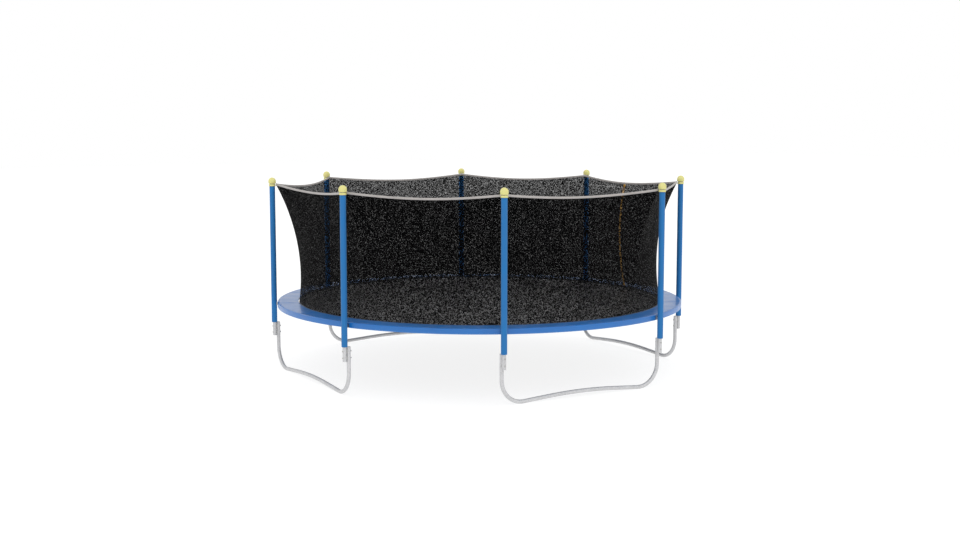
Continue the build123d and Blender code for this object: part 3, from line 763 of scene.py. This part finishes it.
def framePad():
    inner = pad["inner"]
    outer = padOuter - 0.0012
    bottom, top = pad["bottom"], padHigh[2] - pad["crown"] - 0.0003
    skirtTop = top - 0.009
    skirtIn = outer - pad["skirtThick"]
    rings = [
        (inner + 0.004, bottom),
        (inner + 0.0008, bottom + 0.0025),
        (inner, bottom + 0.0065),
        (inner + 0.0015, top - 0.0015),
        (inner + 0.005, top),
        (inner + 0.012, top + 0.0004),
        (inner + 0.0135, top - 0.0006),
        (inner + 0.015, top + 0.0006),
    ]
    span = outer - inner
    for step in range(1, 10):
        rings.append((inner + 0.02 + (span - 0.045) * step / 10, top))
    rings += [
        (outer - 0.0205, top + 0.0006),
        (outer - 0.019, top - 0.0006),
        (outer - 0.0175, top + 0.0004),
        (outer - 0.008, top - 0.0005),
        (outer - 0.0028, top - 0.003),
        (outer - 0.0004, top - 0.0065),
        (outer, skirtTop - 0.003),
        (outer - 0.0008, skirtTop - 0.0045),
        (outer, skirtTop - 0.006),
        *((outer, height) for height in pad["skirtRows"]),
        (outer, pad["skirtBottom"] + 0.003),
        (outer - 0.0006, pad["skirtBottom"] + 0.0006),
        (outer - 0.002, pad["skirtBottom"]),
        (skirtIn, pad["skirtBottom"] + 0.001),
        (skirtIn, pad["skirtRows"][3]),
        (skirtIn, pad["skirtRows"][1]),
        (skirtIn, bottom - 0.001),
        (skirtIn - 0.003, bottom),
        (inner + 0.12, bottom),
        (inner + 0.004, bottom),
    ]
    piece = turnRings("framePad", (0, 0), rings, pad["sides"], closed=True)
    step = 360 / pad["seams"]
    for vertex in piece.data.vertices:
        at = vertex.co.copy()
        radius = math.hypot(at.x, at.y)
        angle = math.degrees(math.atan2(at.y, at.x))
        away = abs((angle - pad["seamOffset"] + step / 2) % step - step / 2) * math.radians(radius)
        share = min(1, max(0, (radius - inner) / span))
        if at.z > bottom + 0.004 and radius < outer - 0.001:
            puff = math.sin(math.pi * share) ** 0.6
            lift = pad["crown"] * puff * (0.72 + 0.28 * noise.noise(at * 6))
            pinch = math.exp(-((away / pad["seamSpread"]) ** 2))
            wrinkle = noise.noise(Vector((angle * 3, radius * 30, 0)))
            pucker = 0.35 * math.exp(-((away / pad["puckerSpread"]) ** 2)) * wrinkle
            lift -= (pad["seamDepth"] * pinch + pad["crown"] * pucker) * max(0.25, puff)
            vertex.co.z = min(at.z + lift, padHigh[2] - 0.0001)
        if radius > outer - 0.006 and at.z < pad["rippleTop"]:
            depth = (pad["rippleTop"] - at.z) / 0.04
            slow = noise.noise(Vector((angle * 0.35, 0.0, 3.0)))
            quick = noise.noise(Vector((angle * 1.3, 4.0, 0.0)))
            shift = pad["ripple"] * depth * (slow + 0.5 * quick - 0.6)
            vertex.co.x *= 1 + shift / radius
            vertex.co.y *= 1 + shift / radius
    cuts = [math.radians(a) for a in poleAngles]

    def inNotch(centre):
        if centre.z > pad["notchTop"] or math.hypot(centre.x, centre.y) < outer - 0.006:
            return False
        angle = math.atan2(centre.y, centre.x)
        near = min(abs((angle - cut + math.pi) % math.tau - math.pi) for cut in cuts)
        return near * padOuter < pad["notchHalf"]

    pickFaces(piece, inNotch)
    bpy.ops.mesh.delete(type="FACE")
    bpy.ops.mesh.select_mode(type="EDGE")
    bpy.ops.mesh.select_all(action="DESELECT")
    bpy.ops.mesh.select_non_manifold(extend=False)
    bpy.ops.mesh.edge_face_add()
    bpy.ops.object.mode_set(mode="OBJECT")
    dress(piece, padVinyl, 38)
    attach(piece, "frame")
    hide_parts("frame_pad")


framePad()
print("frame pad done")


# Jumping mat, its edge tape and the lower hem of the net

mat = {
    "sides": 192,
    "rings": 34,
    "middle": 0.004,
    "wave": 0.0007,
    "edgeStill": 0.2,
    "tapeWidth": 0.05,
    "tapeRise": 0.0012,
    "tapeSides": 288,
}


def jumpingMat():
    low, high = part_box("jumping_mat")
    floor, face = low[2] + 0.0004, high[2] - 0.0009
    rings = [(matRadius, floor), (matRadius, face)]
    for step in range(1, mat["rings"]):
        rings.append((matRadius * (1 - step / mat["rings"]), face))
    rings.append((mat["middle"], face))
    piece = turnRings("jumpingMatCloth", (0, 0), rings, mat["sides"])
    lowRings = [(matRadius * share, floor) for share in (1, 0.66, 0.33)] + [(mat["middle"], floor)]
    under = turnRings("matUnder", (0, 0), lowRings, mat["sides"])
    piece = joinUp("jumpingMatCloth", [piece, under])
    takeUp(piece)
    bpy.ops.object.mode_set(mode="EDIT")
    bpy.ops.mesh.select_all(action="SELECT")
    bpy.ops.mesh.remove_doubles(threshold=1e-5)
    bpy.ops.mesh.select_mode(type="EDGE")
    bpy.ops.mesh.select_all(action="DESELECT")
    bpy.ops.mesh.select_non_manifold(extend=False)
    bpy.ops.mesh.edge_face_add()
    bpy.ops.mesh.select_all(action="SELECT")
    bpy.ops.mesh.normals_make_consistent(inside=False)
    bpy.ops.object.mode_set(mode="OBJECT")
    for vertex in piece.data.vertices:
        if vertex.co.z > face - 0.0001:
            still = min(1, (matRadius - vertex.co.xy.length) / mat["edgeStill"])
            vertex.co.z += mat["wave"] * still * noise.noise(vertex.co * 2.1)
    dress(piece, blackMatCloth, 30)
    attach(piece, "mat")
    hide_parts("jumping_mat")
    return piece


def matEdge():
    # the tape is folded round the mat's edge and sewn through in three rows
    inner, outer = matRadius - mat["tapeWidth"], matRadius + 0.0001
    base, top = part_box("mat_edge_webbing")[0][2], matHigh[2] + mat["tapeRise"]
    rings = [
        (inner, matHigh[2] - 0.001),
        (inner + 0.0006, top - 0.0008),
        (inner + 0.002, top - 0.0002),
        (inner + 0.006, top - 0.0008),
        (inner + 0.014, top),
        (inner + 0.022, top - 0.0009),
        (inner + 0.034, top),
        (inner + 0.044, top - 0.0008),
        (outer - 0.003, top - 0.0001),
        (outer - 0.0006, top - 0.0009),
        (outer, (base + top) / 2),
        (outer - 0.0006, base + 0.0009),
        (outer - 0.003, base),
        (inner, base + 0.0005),
    ]
    rings.append(rings[0])
    piece = turnRings("matEdgeTapeBand", (0, 0), rings, mat["tapeSides"], closed=True)
    dress(piece, matEdgeTape, 45)
    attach(piece, "mat")
    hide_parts("mat_edge_webbing")
    return piece


lowHem = {"thick": 0.008, "lap": 0.0105, "sides": 384, "tucks": 96, "tuckDepth": 0.0006}


def lowerHem():
    low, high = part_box("net_bottom_hem")
    outer = (high[0] - low[0]) / 2
    inner = outer - lowHem["thick"]
    base, top = low[2] + 0.0003, high[2]
    # the tape's lower part lies inwards over the mat's wire rings
    lap = inner - lowHem["lap"]
    rings = [
        (lap + 0.0008, base),
        (lap, base + 0.0009),
        (lap + 0.0008, base + 0.0018),
        (inner - 0.0022, base + 0.0022),
        (inner - 0.0003, base + 0.0042),
        (inner, (base + top) / 2),
        (inner + 0.0006, top - 0.005),
        (inner + 0.0024, top - 0.001),
        (inner + 0.004, top),
        (outer - 0.0024, top - 0.001),
        (outer - 0.0006, top - 0.005),
        (outer, (base + top) / 2),
        (outer - 0.0004, base + 0.003),
        (outer - 0.0022, base),
        (lap + 0.0008, base),
    ]
    piece = turnRings("lowerNetHem", (0, 0), rings, lowHem["sides"], closed=True)
    for vertex in piece.data.vertices:
        angle = math.degrees(math.atan2(vertex.co.y, vertex.co.x))
        tuck = lowHem["tuckDepth"] * math.sin(math.radians(angle * lowHem["tucks"])) - 0.0007
        vertex.co.x *= 1 + tuck / outer
        vertex.co.y *= 1 + tuck / outer
    dress(piece, blackHemTape, 50)
    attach(piece, "mat")
    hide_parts("net_bottom_hem")


matPiece = jumpingMat()
matTapePiece = matEdge()
lowerHem()
print("mat done")


# Springs between the frame ring and the mat's wire rings

spring = {
    "count": 96,
    "perGroup": 3,
    "inner": 2.0664,
    "outer": 2.2432,
    "wire": 0.0032,
    "coilRadius": 0.0078,
    "turns": 27,
    "perTurn": 9,
    "hook": 0.021,
    "hookRadius": 0.005,
    "hookSteps": 5,
    "stretch": (2.07, 2.24),
    "stretchHeight": 0.7465,
}


def oneSpring():
    inner, outer = spring["inner"], spring["outer"]
    height = (matLow[2] + matHigh[2]) / 2
    coilStart, coilEnd = inner + spring["hook"], outer - spring["hook"]

    def hook(middle, side):
        # side is 1 for the hook at the mat and -1 for the one at the frame ring
        points = []
        for step in range(spring["hookSteps"]):
            turn = math.radians(side * (45 * step - 150))
            across = middle + spring["hookRadius"] * math.cos(turn)
            points.append((across, 0, height + spring["hookRadius"] * math.sin(turn) + side * 0.001))
        return points

    path = hook(inner + spring["hookRadius"], 1)
    count = spring["turns"] * spring["perTurn"]
    for step in range(count + 1):
        turn = math.tau * step / spring["perTurn"]
        share = step / count
        reach = spring["coilRadius"] * min(1, 5 * share, 5 * (1 - share)) ** 0.5 + 0.0002
        path.append(
            (
                coilStart + (coilEnd - coilStart) * share,
                reach * math.cos(turn),
                height + reach * math.sin(turn),
            )
        )
    path += hook(outer - spring["hookRadius"], -1)
    line = bpy.data.curves.new("springLine", "CURVE")
    line.dimensions = "3D"
    line.bevel_depth = spring["wire"] / 2
    line.bevel_resolution = 0
    run = line.splines.new("POLY")
    run.points.add(len(path) - 1)
    for point, at in zip(run.points, path):
        point.co = (*at, 1)
    holder = bpy.data.objects.new("springLine", line)
    bpy.context.collection.objects.link(holder)
    takeUp(holder)
    bpy.ops.object.convert(target="MESH")
    closeUp(holder, 1e-6)
    return holder


def springs():
    master = oneSpring()
    step = 360 / spring["count"]
    for group in range(spring["count"] // spring["perGroup"]):
        first = group * spring["perGroup"]
        places = [turnedTo(step * (first + k)) for k in range(spring["perGroup"])]
        piece = copiesOf(f"springGroup{group + 1}", master, places)
        dress(piece, springWire, 60)
        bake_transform(piece)
    discard(master)
    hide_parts("springs")


springs()
print("springs done")


# Net: eight panels that hang from the top hem to the mat's edge, and the door flap

net = {
    "bottomRadius": 2.058,
    "bottomHeight": 0.7765,
    "hemCircle": 2.300,
    "hemHeight": 2.088,
    "hemDrop": 0.052,
    "hemDrawIn": 0.057,
    "topGap": 0.009,
    "sagMiddle": 0.075,
    "sagPole": 0.1,
    "columns": 36,
    "rows": 56,
    "ripple": 0.004,
    "reach": 0.9995,
    "slack": 1.04,
    "meanRadius": 2.16,
    "flatHeight": 1.34,
    "blendTop": 0.878,
    "blendEnd": 0.7768,
}
door = {
    "near": 0.016,
    "far": 0.760,
    "bottom": 0.880,
    "top": 1.984,
    "gap": 0.001,
    "sideGap": 0.0004,
    "fold": 0.16,
    "columns": 18,
    "rows": 46,
    "rowsBelow": 4,
    "rowsAbove": 3,
    "flapColumns": 20,
    "flapFlat": (0.76, 1.18),
}
wideHalf = legPole["pairAngle"]
narrowHalf = 45 - wideHalf


def halfAngle(number):
    return wideHalf if number % 2 else narrowHalf


def hemMiddle(half):
    return net["hemCircle"] * math.cos(math.radians(half)) - net["hemDrawIn"] * (half / wideHalf) ** 2


def hemLine(half, share):
    # radius and height of the top hem at this share of the way from the panel's middle to a pole
    blend = share**2
    middle = hemMiddle(half)
    radius = middle + (net["hemCircle"] - middle) * blend
    return radius, net["hemHeight"] - net["hemDrop"] * (1 - blend)


def netTop(half, share):
    radius, height = hemLine(half, share)
    return radius, height - net["topGap"]


def netRadius(half, share, height):
    # the upright profile is an arc that bends inwards between the two hems
    topRadius, topHeight = netTop(half, share)
    sag = net["sagMiddle"] + (net["sagPole"] - net["sagMiddle"]) * share**2
    rise, lean = topHeight - net["bottomHeight"], topRadius - net["bottomRadius"]
    chord = math.hypot(rise, lean)
    arc = (chord**2 / 4 + sag**2) / (2 * sag)
    reach = arc - sag
    centreRadius = (topRadius + net["bottomRadius"]) / 2 + reach * rise / chord
    centreHeight = (topHeight + net["bottomHeight"]) / 2 - reach * lean / chord
    return centreRadius - math.sqrt(max(0, arc**2 - (height - centreHeight) ** 2))


def netRipple(spot, height):
    # loose knit never hangs quite even: shallow upright folds that die out at both hems
    free = math.sin(math.pi * (height - net["bottomHeight"]) / 1.28) if height < 2.05 else 0
    fold = noise.noise(Vector((spot.x * 4.5, spot.y * 4.5, height * 0.9)))
    return net["ripple"] * max(0, free) * fold


def netPoint(number, share, height):
    half = halfAngle(number)
    radius = netRadius(half, share, height)
    spot = polar(radius, 45 * (number - 1) + share * half, height)
    return polar(radius + netRipple(spot, height), 45 * (number - 1) + share * half, height)


def doorShare(across, height):
    # the share that a straight upright line at this distance from the zip has at this height
    angle = 0.0
    for _ in range(5):
        angle = math.degrees(math.asin(across / netRadius(wideHalf, angle / wideHalf, height)))
    return angle / wideHalf


def flatWidth(number):
    return 2 * net["bottomRadius"] * math.radians(halfAngle(number))


def doorFlat(share, height):
    return (share + 1) * wideHalf * math.radians(net["bottomRadius"]) * net["slack"], height


def plainPanel(number):
    half = halfAngle(number)
    width = flatWidth(number)

    def place(column, row):
        share = 2 * column / net["columns"] - 1
        top = netTop(half, share)[1]
        height = net["bottomHeight"] + (top - net["bottomHeight"]) * row / net["rows"]
        flat = (width * column / net["columns"] * net["slack"], height)
        return netPoint(number, share * net["reach"], height), flat

    return gridSheet(f"netPanel{number}", net["columns"], net["rows"], place)


def spread(start, end, count):
    return [start + (end - start) * step / count for step in range(count + 1)]


def doorPanel():
    # rows of set height up to the door's top, then a last stretch that ends at the hem
    heights = spread(net["bottomHeight"], door["bottom"], door["rowsBelow"])
    heights += spread(door["bottom"], door["top"], door["rows"])[1:]
    extra = door["rowsAbove"]
    rows = len(heights) - 1 + extra
    lines = [("pole", -1, share) for share in spread(0, 1, door["columns"])]
    lines += [("door", across) for across in spread(door["near"], door["far"], door["columns"])]
    lines += [("pole", 1, share) for share in spread(0, 1, 5)[1:]]
    columns = len(lines) - 1

    def shareAt(line, height):
        if line[0] == "door":
            return doorShare(line[1], height)
        side, part = line[1], line[2]
        if side < 0:
            edge = doorShare(-door["near"], height)
            return -net["reach"] + (edge + net["reach"]) * part
        edge = doorShare(door["far"], height)
        return edge + (net["reach"] - edge) * part

    def place(column, row):
        if row < len(heights):
            height = heights[row]
        else:
            share = shareAt(lines[column], door["top"])
            top = netTop(wideHalf, share)[1]
            height = door["top"] + (top - door["top"]) * (row - len(heights) + 1) / extra
        share = shareAt(lines[column], height)
        return netPoint(1, share, height), doorFlat(share, height)

    piece = gridSheet("netPanel1", columns, rows, place)

    def inDoorway(centre):
        inSlot = abs(centre.y) < door["near"] - 0.001
        inFlap = door["near"] < centre.y < door["far"] and door["bottom"] < centre.z < door["top"]
        return inSlot or inFlap

    pickFaces(piece, inDoorway)
    bpy.ops.mesh.delete(type="FACE")
    bpy.ops.object.mode_set(mode="OBJECT")
    return piece


def doorFlap():
    gap, sideGap = door["gap"], door["sideGap"]
    columns, rows = door["flapColumns"], door["rows"]

    def place(column, row):
        wide = door["far"] - door["near"] - 2 * sideGap
        across = door["near"] + sideGap + wide * column / columns
        height = door["bottom"] + gap + (door["top"] - door["bottom"] - 2 * gap) * row / rows
        share = doorShare(across, height)
        return netPoint(1, share, height), doorFlat(share, height)

    return gridSheet("doorFlapNet", columns, rows, place)


def netBlend(piece):
    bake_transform(piece)


for number in range(1, 9):
    piece = doorPanel() if number == 1 else plainPanel(number)
    dress(piece, blackNet, 60)
    netBlend(piece)
    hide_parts(f"net_panel_{number}")

flapPiece = doorFlap()
dress(flapPiece, blackNet, 60)
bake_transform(flapPiece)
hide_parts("door_flap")
print("net done")


# Top hem, which sags between the poles, and the loops that hold it at the caps

hem = {"sides": 480, "halfWide": 0.0062, "halfTall": 0.0115, "round": 12}


def topHem():
    rings = []
    for step in range(hem["round"]):
        turn = math.tau * step / hem["round"]
        wide = hem["halfWide"] * math.copysign(abs(math.cos(turn)) ** 0.6, math.cos(turn))
        tall = hem["halfTall"] * math.copysign(abs(math.sin(turn)) ** 0.8, math.sin(turn))
        rings.append((net["hemCircle"] + wide, net["hemHeight"] + tall))
    rings.append(rings[0])
    piece = turnRings("topNetHem", (0, 0), rings, hem["sides"], closed=True)
    for vertex in piece.data.vertices:
        angle = math.degrees(math.atan2(vertex.co.y, vertex.co.x)) % 360
        away = (angle + wideHalf) % 90 - wideHalf
        half = wideHalf
        if away > wideHalf:
            half, away = narrowHalf, away - 45
        radius, height = hemLine(half, away / half)
        crease = 0.0008 * noise.noise(Vector((angle * 1.4, vertex.co.z * 40, 0)))
        factor = 1 + (radius - net["hemCircle"] + crease) / vertex.co.xy.length
        vertex.co.x *= factor
        vertex.co.y *= factor
        vertex.co.z += height - net["hemHeight"]
    dress(piece, greyHemTape, 50)
    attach(piece, "frame")
    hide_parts("net_top_hem")


capLoop = {
    "low": 2.0905,
    "high": 2.0965,
    "bore": 0.0266,
    "outer": 0.0290,
    "bevel": 0.001,
    "wrapRadius": 0.0155,
    "wrapThick": 0.0013,
    "wrapShape": (0.95, 1.05, 7.0),
    "wrapAt": (-0.0385, 0, 2.0885),
}


def capLoops():
    # one tape loop round the cap's groove, one round the hem, copied to each pole
    low, high, bevel = capLoop["low"], capLoop["high"], capLoop["bevel"]
    bore, outer = capLoop["bore"], capLoop["outer"]
    rings = [(bore, low), (outer - 0.0006, low), (outer, low + bevel), (outer, high - bevel)]
    rings += [(outer - 0.0006, high), (bore, high), (bore, low)]
    grip = turnRings("capLoop", (0, 0), rings, 32, closed=True)
    deselectAll()
    bpy.ops.mesh.primitive_torus_add(
        major_segments=28,
        minor_segments=8,
        major_radius=capLoop["wrapRadius"],
        minor_radius=capLoop["wrapThick"],
    )
    wrap = bpy.context.object
    wrap.scale = capLoop["wrapShape"]
    applyPlace(wrap)
    wrap.rotation_euler = (math.radians(90), 0, 0)
    wrap.location = capLoop["wrapAt"]
    applyPlace(wrap)
    master = joinUp("capLoopMaster", [grip, wrap])
    places = [turnedTo(angle, poleCircle) for angle in poleAngles]
    piece = copiesOf("capLoops", master, places)
    discard(master)
    dress(piece, greyTieTape, 45)
    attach(piece, "frame")
    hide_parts("net_ties")


topHem()
capLoops()
print("hems done")


# Zip: two tapes with teeth, along the middle of the door panel

zipper = {
    "tape": 0.014,
    "slit": 0.0016,
    "thick": 0.0013,
    "row": 0.02,
    "tooth": (0.0034, 0.0032, 0.0022),
    "toothBevel": 0.0005,
    "pitch": 0.005,
    "endGap": 0.002,
    "doorGap": 0.001,
    "low": 0.7785,
    "high": 2.0235,
}
topTab = {"low": 1.987, "high": 2.023, "wide": 0.04, "proud": 0.002, "thick": 0.0016}


def zipLine(height):
    return netRadius(wideHalf, 0, height)


def zipTapeSide(name, side, low, high):
    rows = int((high - low) / zipper["row"])
    inner, outer = zipper["slit"], zipper["slit"] + zipper["tape"]

    def place(column, row):
        height = low + (high - low) * row / rows
        across = side * (inner + (outer - inner) * column / 4)
        return Vector((zipLine(height), across, height)), (across, height)

    tape = gridSheet(name, 4, rows, place)
    addModifier(tape, "SOLIDIFY", thickness=zipper["thick"], offset=0)
    closeUp(tape)
    deselectAll()
    bpy.ops.mesh.primitive_cube_add(size=1)
    tooth = bpy.context.object
    tooth.scale = zipper["tooth"]
    applyPlace(tooth)
    addModifier(tooth, "BEVEL", width=zipper["toothBevel"], segments=1)
    count = int((high - low - 2 * zipper["endGap"]) / zipper["pitch"])
    places = []
    for step in range(count):
        height = low + zipper["endGap"] + zipper["pitch"] * (step + (0.5 if side > 0 else 0))
        slope = (zipLine(height + 0.001) - zipLine(height - 0.001)) / 0.002
        tilt = Matrix.Rotation(math.atan(slope), 4, "Y")
        places.append(Matrix.Translation((zipLine(height), side * (inner + 0.0004), height)) @ tilt)
    teeth = copiesOf(name + "Teeth", tooth, places)
    discard(tooth)
    dress(tape, zipTape, 40)
    dress(teeth, zipBrass, 30)
    return joinUp(name, [tape, teeth])


def zipTopTab():
    # a folded tab of the same tape that closes the zip's upper end, under the hem

    def place(column, row):
        height = topTab["low"] + (topTab["high"] - topTab["low"]) * row / 4
        across = topTab["wide"] * (column / 4 - 0.5)
        return Vector((zipLine(height) + topTab["proud"], across, height)), (across, height)

    tab = gridSheet("zipTopTab", 4, 4, place)
    addModifier(tab, "SOLIDIFY", thickness=topTab["thick"], offset=0)
    closeUp(tab)
    dress(tab, zipTape, 40)
    return tab


def zips():
    gap = zipper["doorGap"]
    fixed = zipTapeSide("zipTapeFixed", -1, zipper["low"], zipper["high"])
    above = zipTapeSide("zipTapeAbove", 1, door["top"] + gap, zipper["high"])
    below = zipTapeSide("zipTapeBelow", 1, zipper["low"], door["bottom"] - gap)
    fixed = joinUp("zipTapeFixed", [fixed, above, below, zipTopTab()])
    netBlend(fixed)
    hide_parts("zipper_tape")
    moving = zipTapeSide("zipTapeDoor", 1, door["bottom"] + gap, door["top"] - gap)
    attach(moving, "door_flap")
    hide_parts("flap_zip_tape")


zips()
print("zip done")


# Elastic loops that tie the pad to the ring

tie = {"count": 16, "first": 9.375, "thick": 0.0008, "clear": 0.0012, "tall": 11, "circle": 2.265}


def padTies():
    deselectAll()
    bpy.ops.mesh.primitive_torus_add(
        major_segments=32,
        minor_segments=8,
        major_radius=tubeRadius + tie["clear"],
        minor_radius=tie["thick"],
    )
    loop = bpy.context.object
    loop.scale = (1, 1, tie["tall"])
    applyPlace(loop)
    loop.rotation_euler = (math.radians(90), 0, 0)
    loop.location = (tie["circle"], 0, ringHeight)
    applyPlace(loop)
    places = [turnedTo(tie["first"] + 360 / tie["count"] * k) for k in range(tie["count"])]
    piece = copiesOf("padTieLoops", loop, places)
    discard(loop)
    dress(piece, elasticTape, 45)
    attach(piece, "frame")
    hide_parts("pad_ties")


padTies()
print("ties done")


# Floor, light and camera

studio = {
    "floor": (130, 130, 130),
    "floorGlow": 0.82,
    "behindOneNet": 0.24,
    "behindTwoNets": 0.1,
    "sky": 1.0,
    "keyStrength": 0.5,
    "keyDirection": (0.35, 0.75, -1),
    "keySpread": 60,
    "cameraAt": (-7.690, -13.295, 2.876),
    "cameraTo": (0.4976, 0.8597, -0.11546),
    "lens": 50.4,
}


def backdropShade(tree):
    # darkens the floor and the sky where the camera sees them through net
    path = putNode(tree, "ShaderNodeLightPath").outputs
    drop = calc(tree, "MULTIPLY_ADD", path["Transparent Depth"], studio["behindOneNet"] - 1, 1.0)
    kept = calc(tree, "MAXIMUM", drop, studio["behindTwoNets"])
    lost = calc(tree, "MULTIPLY", calc(tree, "SUBTRACT", 1.0, kept), path["Is Camera Ray"])
    return calc(tree, "SUBTRACT", 1.0, lost)


def studioSet():
    deselectAll()
    bpy.ops.mesh.primitive_plane_add(size=120, location=(0, 0, -0.0005))
    floor = bpy.context.object
    floor.name = "studioFloor"
    applyPlace(floor)
    look, tree, shader = startFinish("paleFloor", Roughness=0.9)
    shade = backdropShade(tree)
    glow = calc(tree, "MULTIPLY", shade, studio["floorGlow"])
    shader.inputs["Emission Color"].default_value = (1, 1, 1, 1)
    ground = mixed(tree, shade, (0, 0, 0, 1), colourOf(*studio["floor"]))
    wire(tree, shader, Base_Color=ground, Emission_Strength=glow)
    floor.data.materials.append(look)
    world = bpy.data.worlds.new("softSky")
    bpy.context.scene.world = world
    world.use_nodes = True
    sky = world.node_tree.nodes["Background"]
    sky.inputs["Color"].default_value = (1, 1, 1, 1)
    light = calc(world.node_tree, "MULTIPLY", backdropShade(world.node_tree), studio["sky"])
    world.node_tree.links.new(light, sky.inputs["Strength"])
    lamp = bpy.data.lights.new("keyLight", "SUN")
    lamp.energy = studio["keyStrength"]
    lamp.angle = math.radians(studio["keySpread"])
    holder = bpy.data.objects.new("keyLight", lamp)
    holder.rotation_euler = Vector(studio["keyDirection"]).to_track_quat("-Z", "Y").to_euler()
    bpy.context.collection.objects.link(holder)
    lens = bpy.data.cameras.new("viewCamera")
    lens.lens = studio["lens"]
    lens.clip_end = 300
    camera = bpy.data.objects.new("viewCamera", lens)
    camera.location = studio["cameraAt"]
    camera.rotation_euler = Vector(studio["cameraTo"]).to_track_quat("-Z", "Y").to_euler()
    bpy.context.collection.objects.link(camera)
    bpy.context.scene.camera = camera
    bpy.context.scene.view_settings.view_transform = "Standard"


studioSet()
deselectAll()
print("studio done")
